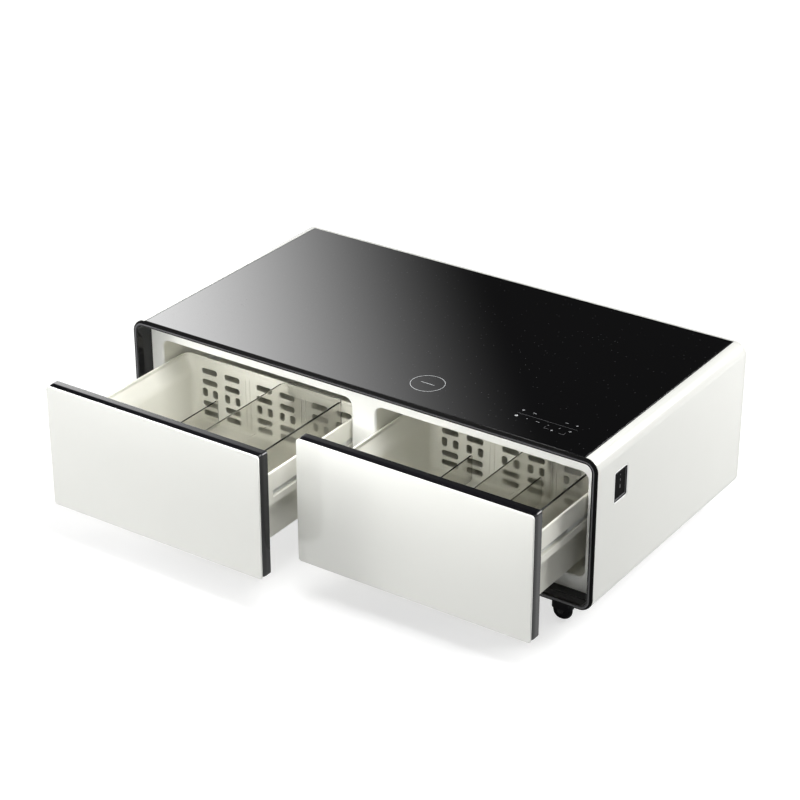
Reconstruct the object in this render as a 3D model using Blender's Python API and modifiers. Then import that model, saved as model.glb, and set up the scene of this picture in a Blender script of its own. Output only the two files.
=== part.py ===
"""A low smart coffee table with two refrigerated drawers side by side, both pulled out.

X runs across the table, +Y to its back and +Z up, in metres. Every piece is placed with Y
counted from the front of the black surround and Z from the floor. The frame that carries
them all stands below the middle of the whole table, drawers out. A drawer's own pieces
have Y counted from the face of its front and X from the middle of the drawer.
"""

import math

import bmesh
import bpy
from mathutils import Matrix

# Fits, overruns and facets
FIT = 0.0003
CUT_OVERRUN = 0.010
JOIN_OVERLAP = 0.001
WELD_DISTANCE = 0.00001
CORNER_STEPS = 6
SLOT_STEPS = 1
ROUND_SIDES = 32
WHEEL_SIDES = 24
SMALL_SIDES = 12
ROUND_EDGE_SEGMENTS = 3
SHARP_ANGLE = math.radians(50)

# Castors: wheel, fork, swivel and mounting plate, stacked under the cabinet
WHEEL_DIAMETER = 0.050
WHEEL_WIDTH = 0.020
WHEEL_ROUND = 0.004
AXLE_DIAMETER = 0.006
AXLE_HEAD = 0.001
FORK_HEADROOM = 0.0025
FORK_PLATE = 0.003
FORK_LEG = 0.0025
FORK_SIDE_GAP = 0.001
FORK_END_RADIUS = 0.007
FORK_NOSE = 0.012
CASTOR_TRAIL = 0.020
SWIVEL_BOSS_HEIGHT = 0.0059
SWIVEL_BOSS_RADIUS = 0.012
KINGPIN_RADIUS = 0.004
KINGPIN_HEAD_RADIUS = 0.006
KINGPIN_HEAD = 0.0019
MOUNT_PLATE = 0.003
MOUNT_SIZE = 0.050
CASTOR_SIDE_INSET = 0.074
CASTOR_FRONT_INSET = 0.042
CASTOR_REAR_INSET = 0.055

# Cabinet shell, glass top and black surround
WIDTH = 1.300
DEPTH = 0.715
CABINET_HEIGHT = 0.384
EDGE_RADIUS = 0.031
SHELL_WALL = 0.006
DECK_WALL = 0.0025
GLASS_THICKNESS = 0.005
GLASS_MARGIN = 0.032
SEAL_THICKNESS = 0.0008
SEAL_INSET = 0.004
BEZEL_FACE = 0.0125
BEZEL_RING = 0.008
BEZEL_ROUND = 0.003
RECESS_DEPTH = 0.055
PANEL_THICKNESS = 0.005
REAR_PANEL = 0.006

# Drawer fronts, their seals and the openings behind them
FRONT_SIDE_GAP = 0.0095
FRONT_MIDDLE_GAP = 0.016
FRONT_TOP_GAP = 0.0225
FRONT_BOTTOM_GAP = 0.021
FRONT_THICKNESS = 0.035
FRONT_GLASS = 0.004
FRONT_GLASS_RADIUS = 0.011
FRAME_RADIUS = 0.006
FRAME_WALL = 0.0085
GASKET_THICKNESS = 0.0084
GASKET_WIDTH = 0.010
GASKET_MARGIN = 0.0015
CORE_DEPTH = 0.020
CORE_CLEARANCE = 0.006
OPENING_SIDE_LAP = 0.024
OPENING_TOP_LAP = 0.029
OPENING_BOTTOM_LAP = 0.0125
OPENING_RADIUS = 0.020
LEFT_OPEN = 0.350
RIGHT_OPEN = 0.233

# Cold cavities and the machine bay behind them
LINER_WALL = 0.003
FOAM_REAR = 0.022
EVAPORATOR_THICKNESS = 0.012
EVAPORATOR_HEIGHT = 0.150
EVAPORATOR_INSET = 0.060
COMPRESSOR_DIAMETER = 0.130
COMPRESSOR_HEIGHT = 0.170
COMPRESSOR_PROFILE_SHARES = ((0.55, 0.985), (0.86, 0.93), (1, 0.82), (1, 0.10), (0.92, 0))
BAY_CLEARANCE = 0.012
TRAY_THICKNESS = 0.003
TRAY_LENGTH = 0.180
TRAY_WIDTH = 0.140
CONDENSER_WIDTH = 0.220
CONDENSER_DEPTH = 0.045
CONDENSER_HEIGHT = 0.160
CONDENSER_SPINE = 0.012
CONDENSER_STANDOFF = 0.010
FIN_COUNT = 14
FIN_GAP = 0.008
FAN_SIZE = 0.140
FAN_DEPTH = 0.025
FAN_BORE_RADIUS = 0.064
FAN_TIP_GAP = 0.002
FAN_STRUT_WIDTH = 0.008
FAN_STRUT_DEPTH = 0.004
FAN_BOSS_RADIUS = 0.018
FAN_SHAFT_RADIUS = 0.003
FAN_SHAFT_REACH = 0.012
FAN_HUB_RADIUS = 0.020
FAN_HUB_DEPTH = 0.018
BLADE_COUNT = 7
BLADE_WIDTH = 0.022
BLADE_THICKNESS = 0.0018
BLADE_PITCH = math.radians(32.0)
CONTROL_BOX = (0.200, 0.060, 0.120)
CONTROL_BOX_HEIGHT = 0.110
COMPRESSOR_SHARE = -0.10
CONDENSER_SHARE = -0.62
CONTROL_BOX_SHARE = 0.55

# Rear panel: two fields of air slots and the mains inlet
VENT_LENGTH = 0.090
VENT_HEIGHT = 0.005
VENT_PITCH = 0.014
VENT_ROWS = 8
VENT_COLUMNS = 2
VENT_COLUMN_PITCH = 0.105
VENT_BASE = 0.055
INLET_WIDTH = 0.048
INLET_HEIGHT = 0.028
INLET_DEPTH = 0.026
INLET_POCKET = (0.026, 0.018)
INLET_POCKET_DEPTH = 0.018
INLET_POCKET_RADIUS = 0.003
INLET_PIN = (0.002, 0.012, 0.006)
INLET_PIN_PITCH = 0.007
INLET_BASE = 0.060

# Wireless charger and touch board under the glass, socket in the right side
CHARGER_PLACE = (0.138, 0.113)
CHARGER_RADIUS = 0.045
TOUCH_BOARD_SIDE_INSET = 0.158
TOUCH_BOARD_FRONT_INSET = 0.0985
TOUCH_BOARD_SIZE = (0.190, 0.050)
BOARD_THICKNESS = 0.009
SOCKET_FRONT = 0.0865
SOCKET_WIDTH = 0.055
SOCKET_HEIGHT = 0.074
SOCKET_TOP_DROP = 0.0665
SOCKET_DEPTH = 0.028
SOCKET_SETBACK = 0.0005
SOCKET_RADIUS = 0.004
SOCKET_WELL_MARGIN = 0.006
SOCKET_WELL_DEPTH = 0.0015
SOCKET_HOLE = (0.0026, 0.0065)
SOCKET_HOLE_DEPTH = 0.014
SOCKET_HOLE_PLACES = ((-0.0075, 0.006), (0.0075, 0.006), (0.0, -0.012))

# Drawer tubs and their runners
BIN_SIDE_GAP = 0.0085
BIN_TOP_GAP = 0.060
BIN_BOTTOM_GAP = 0.031
BIN_REAR_GAP = 0.0337
BIN_WALL = 0.004
BIN_FRONT_BLOCK = 0.0367
BIN_REAR_RADIUS = 0.022
BIN_FRONT_RADIUS = 0.004
BIN_INNER_RADIUS = 0.018
BIN_BAND = 0.046
BIN_LIP = 0.0155
BIN_LOWER_INSET = 0.0205
BIN_CHANNEL_INSET = 0.0185
BIN_LEDGE = 0.006
RAIL_HEIGHT = 0.0195
RAIL_CLEARANCE = 0.0005
RAIL_SHEET = 0.0015
RAIL_DEPTH = 0.0155
RAIL_END_GAP = 0.002
DRAWER_RAIL_SETBACK = 0.008
BRACKET_LENGTH = 0.020
BRACKET_HEIGHT = 0.012
BRACKET_END_SETBACK = 0.020
SLOT_LENGTH = 0.047
SLOT_HEIGHT_SHARE = 0.092
SLOT_ROUND_SHARE = 0.36
SHORT_SLOT_WIDTH = 0.0165
SHORT_SLOT_HEIGHT_SHARE = 0.134
SHORT_SLOT_OFFSET = 0.016
SLOT_PAIR_OFFSET = 0.035
SLOT_PAIR_SHARES = (-0.668, 0.0, 0.668)
SLOT_ROW_SHARES = (0.779, 0.609, 0.274, 0.134)
SHORT_SLOT_ROW_SHARE = 0.447

# Sliding baskets and low dividers
BASKET_WIDTH = 0.177
BASKET_HEIGHT = 0.090
BASKET_WALL = 0.0025
BASKET_FLANGE = 0.0022
BASKET_RADIUS = 0.010
BASKET_SIDE_GAP = 0.001
LEFT_BASKET_SHARE = 0.731
RIGHT_BASKET_SHARE = 0.890
DIVIDER_THICKNESS = 0.0025
DIVIDER_DROP = 0.020
LEFT_DIVIDER_SHARES = (-0.7154,)
RIGHT_DIVIDER_SHARES = (-0.5573, 0.2075)

# Heights and depths that follow from the sizes above
BODY_BOTTOM = (
    WHEEL_DIAMETER + FORK_HEADROOM + FORK_PLATE + FIT + SWIVEL_BOSS_HEIGHT + MOUNT_PLATE + FIT
)
BODY_TOP = BODY_BOTTOM + CABINET_HEIGHT
HALF_WIDTH = WIDTH / 2
GLASS_HALF = HALF_WIDTH - GLASS_MARGIN
GLASS_BOTTOM = BODY_TOP - GLASS_THICKNESS
SEAL_TOP = GLASS_BOTTOM - FIT
DECK_TOP = SEAL_TOP - SEAL_THICKNESS - FIT
DECK_BOTTOM = DECK_TOP - DECK_WALL
CAVITY_HALF = HALF_WIDTH - SHELL_WALL
CAVITY_BOTTOM = BODY_BOTTOM + SHELL_WALL
REAR_PANEL_FRONT = DEPTH - REAR_PANEL
BAY_DEPTH = COMPRESSOR_DIAMETER + 2 * BAY_CLEARANCE
FOAM_BACK = REAR_PANEL_FRONT - BAY_DEPTH
LINER_BACK = FOAM_BACK - FOAM_REAR
LINER_INNER_BACK = LINER_BACK - LINER_WALL
PANEL_BACK = RECESS_DEPTH + PANEL_THICKNESS
LINER_FRONT = PANEL_BACK + FIT

RECESS_HALF = HALF_WIDTH - BEZEL_FACE
RECESS_BOTTOM = BODY_BOTTOM + BEZEL_FACE
RECESS_TOP = BODY_TOP - BEZEL_FACE
FRONT_HALF = (RECESS_HALF - FRONT_SIDE_GAP - FRONT_MIDDLE_GAP / 2) / 2
DRAWER_MIDDLE = FRONT_MIDDLE_GAP / 2 + FRONT_HALF
FRONT_BOTTOM = RECESS_BOTTOM + FRONT_BOTTOM_GAP
FRONT_TOP = RECESS_TOP - FRONT_TOP_GAP
CLOSED_FRONT = RECESS_DEPTH - GASKET_THICKNESS - 2 * FIT - FRONT_THICKNESS
OPENING_HALF = FRONT_HALF - OPENING_SIDE_LAP
OPENING_BOTTOM = FRONT_BOTTOM + OPENING_BOTTOM_LAP
OPENING_TOP = FRONT_TOP - OPENING_TOP_LAP
CORE_BACK = FRONT_THICKNESS + CORE_DEPTH

BIN_HALF = OPENING_HALF - BIN_SIDE_GAP
BIN_BOTTOM = OPENING_BOTTOM + BIN_BOTTOM_GAP
BIN_TOP = OPENING_TOP - BIN_TOP_GAP
BIN_FRONT = CORE_BACK + FIT
BIN_BACK = LINER_INNER_BACK - FIT - EVAPORATOR_THICKNESS - BIN_REAR_GAP - CLOSED_FRONT
BIN_FLOOR = BIN_BOTTOM + BIN_WALL
BIN_INNER_FRONT = BIN_FRONT + BIN_WALL
BIN_INNER_BACK = BIN_BACK - BIN_WALL
BIN_LOWER_HALF = BIN_HALF - BIN_LOWER_INSET
BIN_LOWER_INNER = BIN_LOWER_HALF - BIN_WALL
BIN_UPPER_INNER = BIN_HALF - BIN_WALL
CHANNEL_HALF = BIN_HALF - BIN_CHANNEL_INSET
CHANNEL_TOP = BIN_TOP - BIN_BAND
CHANNEL_BOTTOM = CHANNEL_TOP - RAIL_HEIGHT - 2 * RAIL_CLEARANCE
LIP_BOTTOM = CHANNEL_BOTTOM - BIN_LIP
LEDGE = CHANNEL_TOP + BIN_LEDGE
RAIL_MIDDLE = (CHANNEL_TOP + CHANNEL_BOTTOM) / 2
RAIL_FRONT = BIN_FRONT + BIN_FRONT_BLOCK + RAIL_END_GAP
RAIL_BACK = BIN_BACK
RAIL_INNER = CHANNEL_HALF + FIT
RAIL_OUTER = RAIL_INNER + RAIL_DEPTH

BASKET_TOP = BIN_TOP + FIT + BASKET_FLANGE
BASKET_BOTTOM = BIN_TOP - BASKET_HEIGHT
BASKET_HALF = BASKET_WIDTH / 2
BASKET_REACH = BIN_LOWER_INNER - BASKET_HALF - BASKET_SIDE_GAP
DIVIDER_TOP = BASKET_BOTTOM - DIVIDER_DROP

MIDDLE_Y = (DEPTH + CLOSED_FRONT - max(LEFT_OPEN, RIGHT_OPEN)) / 2

# Colour, roughness and metallic value of each finish
FINISHES = {
    "white_gloss": ((0.88, 0.88, 0.86), 0.25, 0.0),
    "black_gloss": ((0.012, 0.013, 0.015), 0.12, 0.0),
    "black_matt": ((0.02, 0.02, 0.022), 0.55, 0.0),
    "black_metal": ((0.03, 0.032, 0.036), 0.35, 0.6),
    "beige_plastic": ((0.72, 0.69, 0.61), 0.45, 0.0),
    "smoked_clear": ((0.28, 0.26, 0.22), 0.10, 0.0),
    "steel": ((0.62, 0.63, 0.64), 0.30, 1.0),
    "copper": ((0.72, 0.42, 0.26), 0.35, 1.0),
    "foam": ((0.78, 0.72, 0.52), 0.90, 0.0),
    "board_green": ((0.05, 0.22, 0.10), 0.60, 0.0),
    "grey_sheet": ((0.45, 0.46, 0.47), 0.50, 0.4),
    "seal_grey": ((0.20, 0.20, 0.21), 0.80, 0.0),
}

for old in list(bpy.data.objects):
    bpy.data.objects.remove(old)

TABLE = bpy.data.collections.new("smart_coffee_table")
CUTTERS = bpy.data.collections.new("cutters")
bpy.context.scene.collection.children.link(TABLE)
bpy.context.scene.collection.children.link(CUTTERS)

# A flat outline lies in its own X and Y; these turn its thickness along X, Y or Z
TURNS = {
    "X": Matrix(((0, 0, 1, 0), (1, 0, 0, 0), (0, 1, 0, 0), (0, 0, 0, 1))),
    "Y": Matrix.Rotation(math.radians(90), 4, "X"),
    "Z": Matrix.Identity(4),
}


# Building blocks
def guide(name, place, parent=None):
    """An empty that carries pieces."""
    frame = bpy.data.objects.new(name, None)
    frame.location = place
    frame.parent = parent
    TABLE.objects.link(frame)
    return frame


def finish_material(name, finish):
    colour, roughness, metallic = FINISHES[finish]
    made = bpy.data.materials.new(name)
    made.use_nodes = True
    shader = made.node_tree.nodes["Principled BSDF"]
    shader.inputs["Base Color"].default_value = (*colour, 1.0)
    shader.inputs["Roughness"].default_value = roughness
    shader.inputs["Metallic"].default_value = metallic
    return made


def put(name, mesh, parent, place=(0, 0, 0), finish=None):
    """An object for a mesh: a piece when it has a finish, and otherwise a cutter."""
    piece = bpy.data.objects.new(name, mesh)
    piece.location = place
    piece.parent = parent
    if finish:
        TABLE.objects.link(piece)
        mesh.materials.append(finish_material(name, finish))
    else:
        CUTTERS.objects.link(piece)
        piece.hide_render = True
        piece.display_type = "WIRE"
    return piece


def mesh_of(name, form, turn=None):
    """A mesh from a bmesh, turned if need be, with its faces pointing out."""
    if turn is not None:
        bmesh.ops.transform(form, matrix=turn, verts=form.verts)
    bmesh.ops.recalc_face_normals(form, faces=form.faces)
    mesh = bpy.data.meshes.new(name)
    form.to_mesh(mesh)
    form.free()
    return mesh


def block(name, xs, ys, zs, parent, finish=None):
    """A box from its three spans."""
    spans = (xs, ys, zs)
    form = bmesh.new()
    bmesh.ops.create_cube(form, size=1)
    bmesh.ops.scale(form, vec=[high - low for low, high in spans], verts=form.verts)
    place = [(low + high) / 2 for low, high in spans]
    return put(name, mesh_of(name, form), parent, place, finish)


def round_bar(name, radius, span, centre, axis, parent, finish=None, sides=ROUND_SIDES):
    """A cylinder along an axis, over a span of it; centre gives its other two coordinates."""
    form = bmesh.new()
    length = span[1] - span[0]
    bmesh.ops.create_cone(
        form, cap_ends=True, segments=sides, radius1=radius, radius2=radius, depth=length
    )
    return put(name, mesh_of(name, form, TURNS[axis]), parent, along(axis, span, centre), finish)


def along(axis, span, centre=(0, 0)):
    """A place at the middle of a span of an axis, with its other two coordinates."""
    middle = (span[0] + span[1]) / 2
    if axis == "X":
        return (middle, *centre)
    if axis == "Y":
        return (centre[0], middle, centre[1])
    return (*centre, middle)


def arc(centre, radius, start, end, steps):
    """Points of an arc, its angles in quarter turns."""
    angles = [(start + (end - start) * i / steps) * math.pi / 2 for i in range(steps + 1)]
    return [(centre[0] + radius * math.cos(a), centre[1] + radius * math.sin(a)) for a in angles]


def rounded(low, high, radius, steps=CORNER_STEPS):
    """A rectangle with round corners; radius is one value, or one at the low edge and one at the high."""
    low_radius, high_radius = radius if isinstance(radius, tuple) else (radius, radius)
    left, right = low[0], high[0]
    base, top = low[1], high[1]
    return (
        arc((right - low_radius, base + low_radius), low_radius, 3, 4, steps)
        + arc((right - high_radius, top - high_radius), high_radius, 0, 1, steps)
        + arc((left + high_radius, top - high_radius), high_radius, 1, 2, steps)
        + arc((left + low_radius, base + low_radius), low_radius, 2, 3, steps)
    )


def centred(half, base, top, radius, middle=0, steps=CORNER_STEPS):
    """A round-cornered outline that is symmetric about a middle."""
    return rounded((middle - half, base), (middle + half, top), radius, steps)


def rectangle(low, high):
    return [low, (high[0], low[1]), high, (low[0], high[1])]


def flat_mesh(name, outlines, thickness, axis):
    """A mesh of a flat outline, with any holes in it, given its thickness along an axis."""
    curve = bpy.data.curves.new(name, "CURVE")
    curve.dimensions = "2D"
    curve.fill_mode = "BOTH"
    curve.extrude = thickness / 2
    for outline in outlines:
        spline = curve.splines.new("POLY")
        spline.points.add(len(outline) - 1)
        for point, (u, v) in zip(spline.points, outline):
            point.co = (u, v, 0, 1)
        spline.use_cyclic_u = True
    drawn = bpy.data.objects.new(name, curve)
    CUTTERS.objects.link(drawn)
    seen = drawn.evaluated_get(bpy.context.evaluated_depsgraph_get())
    mesh = bpy.data.meshes.new_from_object(seen)
    form = bmesh.new()
    form.from_mesh(mesh)
    bmesh.ops.remove_doubles(form, verts=form.verts, dist=WELD_DISTANCE)
    bpy.data.objects.remove(drawn)
    return mesh_of(name, form, TURNS[axis])


def prism(name, outlines, span, axis, parent, finish=None, centre=(0, 0)):
    """A flat outline with a thickness that covers a span of an axis."""
    mesh = flat_mesh(name, outlines, span[1] - span[0], axis)
    return put(name, mesh, parent, along(axis, span, centre), finish)


def copies(name, shapes):
    """One mesh of many copies, from pairs of a mesh and the place of one copy."""
    form = bmesh.new()
    for mesh, place in shapes:
        known = len(form.verts)
        form.from_mesh(mesh)
        form.verts.ensure_lookup_table()
        bmesh.ops.translate(form, vec=place, verts=form.verts[known:])
    return mesh_of(name, form)


def turned(
    name, profile, parent, place=(0, 0, 0), finish=None, axis="Z", closed=False, sides=ROUND_SIDES
):
    """A turned piece from its profile, which runs down the outer side."""
    form = bmesh.new()
    points = [form.verts.new((radius, 0, height)) for radius, height in profile]
    pairs = list(zip(points, points[1:]))
    if closed:
        pairs.append((points[-1], points[0]))
    for first, second in pairs:
        form.edges.new((first, second))
    mesh = bpy.data.meshes.new(name)
    form.to_mesh(mesh)
    form.free()
    piece = put(name, mesh, parent, place, finish)
    piece.rotation_euler = TURNS[axis].to_euler()
    screw = piece.modifiers.new("turn", "SCREW")
    screw.steps = sides
    screw.render_steps = sides
    screw.use_merge_vertices = True
    screw.merge_threshold = WELD_DISTANCE
    screw.use_smooth_shade = True
    return piece


def cut(piece, *cutters):
    for cutter in cutters:
        step = piece.modifiers.new(cutter.name, "BOOLEAN")
        step.operation = "DIFFERENCE"
        step.object = cutter


def join(piece, *others):
    for other in others:
        step = piece.modifiers.new(other.name, "BOOLEAN")
        step.operation = "UNION"
        step.object = other


def soften(piece, width, pick):
    """Round the sharp edges whose two ends both answer a test on their own coordinates."""
    form = bmesh.new()
    form.from_mesh(piece.data)
    weights = form.edges.layers.float.new("bevel_weight_edge")
    for edge in form.edges:
        sharp = edge.calc_face_angle(0) > SHARP_ANGLE
        if sharp and all(pick(vert.co) for vert in edge.verts):
            edge[weights] = 1
    form.to_mesh(piece.data)
    form.free()
    bevel = piece.modifiers.new("round_edge", "BEVEL")
    bevel.limit_method = "WEIGHT"
    bevel.width = width
    bevel.segments = ROUND_EDGE_SEGMENTS


def mirror_x(outline):
    """The outline on the other side, its points still in the same turn."""
    return [(-u, v) for u, v in reversed(outline)]


# Cabinet
def shell_outline(gap=0):
    """The hollow of the shell, made smaller all round by a gap."""
    return centred(
        CAVITY_HALF - gap, CAVITY_BOTTOM + gap, DECK_BOTTOM - gap, EDGE_RADIUS - SHELL_WALL - gap
    )


def body_outline():
    return centred(HALF_WIDTH, BODY_BOTTOM, BODY_TOP, EDGE_RADIUS)


def recess_outline():
    return centred(RECESS_HALF, RECESS_BOTTOM, RECESS_TOP, EDGE_RADIUS - BEZEL_FACE)


def opening_outline(middle, grow=0):
    """The outline of a drawer's opening, made larger all round."""
    return centred(
        OPENING_HALF + grow, OPENING_BOTTOM - grow, OPENING_TOP + grow, OPENING_RADIUS + grow, middle
    )


def board_spans(grow=0):
    place = (GLASS_HALF - TOUCH_BOARD_SIDE_INSET, TOUCH_BOARD_FRONT_INSET)
    spans = []
    for middle, size in zip(place, TOUCH_BOARD_SIZE):
        spans.append((middle - size / 2 - grow, middle + size / 2 + grow))
    return spans


def socket_outline(grow=0):
    top = BODY_TOP - SOCKET_TOP_DROP
    return rounded(
        (SOCKET_FRONT - grow, top - SOCKET_HEIGHT - grow),
        (SOCKET_FRONT + SOCKET_WIDTH + grow, top + grow),
        SOCKET_RADIUS + grow,
    )


def under_glass_cutters(name, frame):
    """Pockets for the charging coil and the touch board, with their fit."""
    span = (SEAL_TOP - BOARD_THICKNESS - FIT, BODY_TOP + CUT_OVERRUN)
    coil = round_bar(name + "_coil_pocket", CHARGER_RADIUS + FIT, span, CHARGER_PLACE, "Z", frame)
    xs, ys = board_spans(FIT)
    board = block(name + "_board_pocket", xs, ys, span, frame)
    return coil, board


def outer_shell(frame):
    span = (BEZEL_RING + FIT, REAR_PANEL_FRONT - FIT)
    shell = prism(
        "outer_shell", [body_outline(), shell_outline()], span, "Y", frame, "white_gloss"
    )
    glass_pocket = block(
        "glass_pocket",
        (-GLASS_HALF - FIT, GLASS_HALF + FIT),
        (-CUT_OVERRUN, DEPTH + CUT_OVERRUN),
        (DECK_TOP, BODY_TOP + CUT_OVERRUN),
        frame,
    )
    socket_hole = prism(
        "socket_hole",
        [socket_outline(FIT)],
        (CAVITY_HALF - SHELL_WALL, HALF_WIDTH + CUT_OVERRUN),
        "X",
        frame,
    )
    cut(shell, glass_pocket, socket_hole, *under_glass_cutters("shell", frame))


def front_bezel(frame):
    back = RECESS_DEPTH - FIT
    bezel = prism(
        "front_bezel", [body_outline(), recess_outline()], (0, back), "Y", frame, "black_gloss"
    )
    face = -back / 2
    soften(bezel, BEZEL_ROUND, lambda point: point.y < face + WELD_DISTANCE)
    margin = HALF_WIDTH + CUT_OVERRUN
    around = rectangle((-margin, BODY_BOTTOM - CUT_OVERRUN), (margin, BODY_TOP + CUT_OVERRUN))
    step = prism(
        "bezel_step", [around, shell_outline(FIT)], (BEZEL_RING, back + CUT_OVERRUN), "Y", frame
    )
    cut(bezel, step)


def front_panel(frame):
    outlines = [
        shell_outline(FIT),
        opening_outline(-DRAWER_MIDDLE),
        opening_outline(DRAWER_MIDDLE),
    ]
    prism("front_panel", outlines, (RECESS_DEPTH, PANEL_BACK), "Y", frame, "white_gloss")


def glass_top(frame):
    block(
        "glass_top",
        (-GLASS_HALF, GLASS_HALF),
        (BEZEL_RING + FIT, REAR_PANEL_FRONT - FIT),
        (GLASS_BOTTOM, BODY_TOP),
        frame,
        "black_gloss",
    )
    seal = block(
        "glass_seal",
        (-GLASS_HALF + SEAL_INSET, GLASS_HALF - SEAL_INSET),
        (BEZEL_RING + SEAL_INSET, REAR_PANEL_FRONT - SEAL_INSET),
        (SEAL_TOP - SEAL_THICKNESS, SEAL_TOP),
        frame,
        "seal_grey",
    )
    cut(seal, *under_glass_cutters("seal", frame))


def liner(name, middle, frame):
    tub = prism(
        name,
        [opening_outline(middle, LINER_WALL)],
        (LINER_FRONT, LINER_BACK),
        "Y",
        frame,
        "beige_plastic",
    )
    hollow = prism(
        name + "_hollow",
        [opening_outline(middle)],
        (LINER_FRONT - CUT_OVERRUN, LINER_INNER_BACK),
        "Y",
        frame,
    )
    cut(tub, hollow)


def insulation_foam(frame):
    foam = prism(
        "insulation_foam", [shell_outline(FIT)], (LINER_FRONT, FOAM_BACK), "Y", frame, "foam"
    )
    for side in (-1, 1):
        hollow = prism(
            "foam_hollow",
            [opening_outline(side * DRAWER_MIDDLE, LINER_WALL + FIT)],
            (LINER_FRONT - CUT_OVERRUN, LINER_BACK + FIT),
            "Y",
            frame,
        )
        cut(foam, hollow)
    socket_pocket = prism(
        "foam_socket_pocket",
        [socket_outline(FIT)],
        (HALF_WIDTH - SOCKET_SETBACK - SOCKET_DEPTH - FIT, HALF_WIDTH + CUT_OVERRUN),
        "X",
        frame,
    )
    cut(foam, socket_pocket, *under_glass_cutters("foam", frame))


def evaporator(name, middle, frame):
    half = OPENING_HALF - EVAPORATOR_INSET
    height = (OPENING_BOTTOM + OPENING_TOP) / 2
    back = LINER_INNER_BACK - FIT
    block(
        name,
        (middle - half, middle + half),
        (back - EVAPORATOR_THICKNESS, back),
        (height - EVAPORATOR_HEIGHT / 2, height + EVAPORATOR_HEIGHT / 2),
        frame,
        "steel",
    )


def charging_and_touch(frame):
    span = (SEAL_TOP - BOARD_THICKNESS, SEAL_TOP)
    round_bar("wireless_charger", CHARGER_RADIUS, span, CHARGER_PLACE, "Z", frame, "copper")
    xs, ys = board_spans()
    block("touch_board", xs, ys, span, frame, "board_green")


def power_socket(frame):
    face = HALF_WIDTH - SOCKET_SETBACK
    socket = prism(
        "power_socket", [socket_outline()], (face - SOCKET_DEPTH, face), "X", frame, "black_matt"
    )
    well = prism(
        "socket_well",
        [socket_outline(-SOCKET_WELL_MARGIN / 2)],
        (face - SOCKET_WELL_DEPTH, face + CUT_OVERRUN),
        "X",
        frame,
    )
    middle = (
        SOCKET_FRONT + SOCKET_WIDTH / 2,
        BODY_TOP - SOCKET_TOP_DROP - SOCKET_HEIGHT / 2,
    )
    wide, tall = SOCKET_HOLE
    cut(socket, well)
    for y, z in SOCKET_HOLE_PLACES:
        hole = block(
            "socket_pin_hole",
            (face - SOCKET_HOLE_DEPTH, face + CUT_OVERRUN),
            (middle[0] + y - wide / 2, middle[0] + y + wide / 2),
            (middle[1] + z - tall / 2, middle[1] + z + tall / 2),
            frame,
        )
        cut(socket, hole)


# Machine bay
def compressor(frame):
    middle = COMPRESSOR_SHARE * CAVITY_HALF
    depth = FOAM_BACK + BAY_DEPTH / 2
    floor = CAVITY_BOTTOM + FIT
    block(
        "compressor_tray",
        (middle - TRAY_LENGTH / 2, middle + TRAY_LENGTH / 2),
        (depth - TRAY_WIDTH / 2, depth + TRAY_WIDTH / 2),
        (floor, floor + TRAY_THICKNESS),
        frame,
        "grey_sheet",
    )
    radius = COMPRESSOR_DIAMETER / 2
    top = COMPRESSOR_HEIGHT
    wall = [(radius * out, top * up) for out, up in COMPRESSOR_PROFILE_SHARES]
    profile = [(0, top), *wall, (0, 0)]
    place = (middle, depth, floor + TRAY_THICKNESS + FIT)
    turned("compressor", profile, frame, place, "black_matt")


def condenser(frame):
    middle = CONDENSER_SHARE * CAVITY_HALF
    front = FOAM_BACK + CONDENSER_STANDOFF
    back = front + CONDENSER_DEPTH
    floor = CAVITY_BOTTOM + FIT
    xs = (middle - CONDENSER_WIDTH / 2, middle + CONDENSER_WIDTH / 2)
    coil = block("condenser", xs, (front, back), (floor, floor + CONDENSER_HEIGHT), frame, "copper")
    pitch = CONDENSER_WIDTH / FIN_COUNT
    gap = flat_mesh(
        "fin_gap",
        [rectangle((-FIN_GAP / 2, front - CUT_OVERRUN), (FIN_GAP / 2, back - CONDENSER_SPINE))],
        CONDENSER_HEIGHT + 2 * CUT_OVERRUN,
        "Z",
    )
    height = floor + CONDENSER_HEIGHT / 2
    places = [(xs[0] + pitch * (i + 1), 0, height) for i in range(FIN_COUNT - 1)]
    gaps = put("fin_gaps", copies("fin_gaps", [(gap, place) for place in places]), frame)
    cut(coil, gaps)
    return middle, back + FIT


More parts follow.
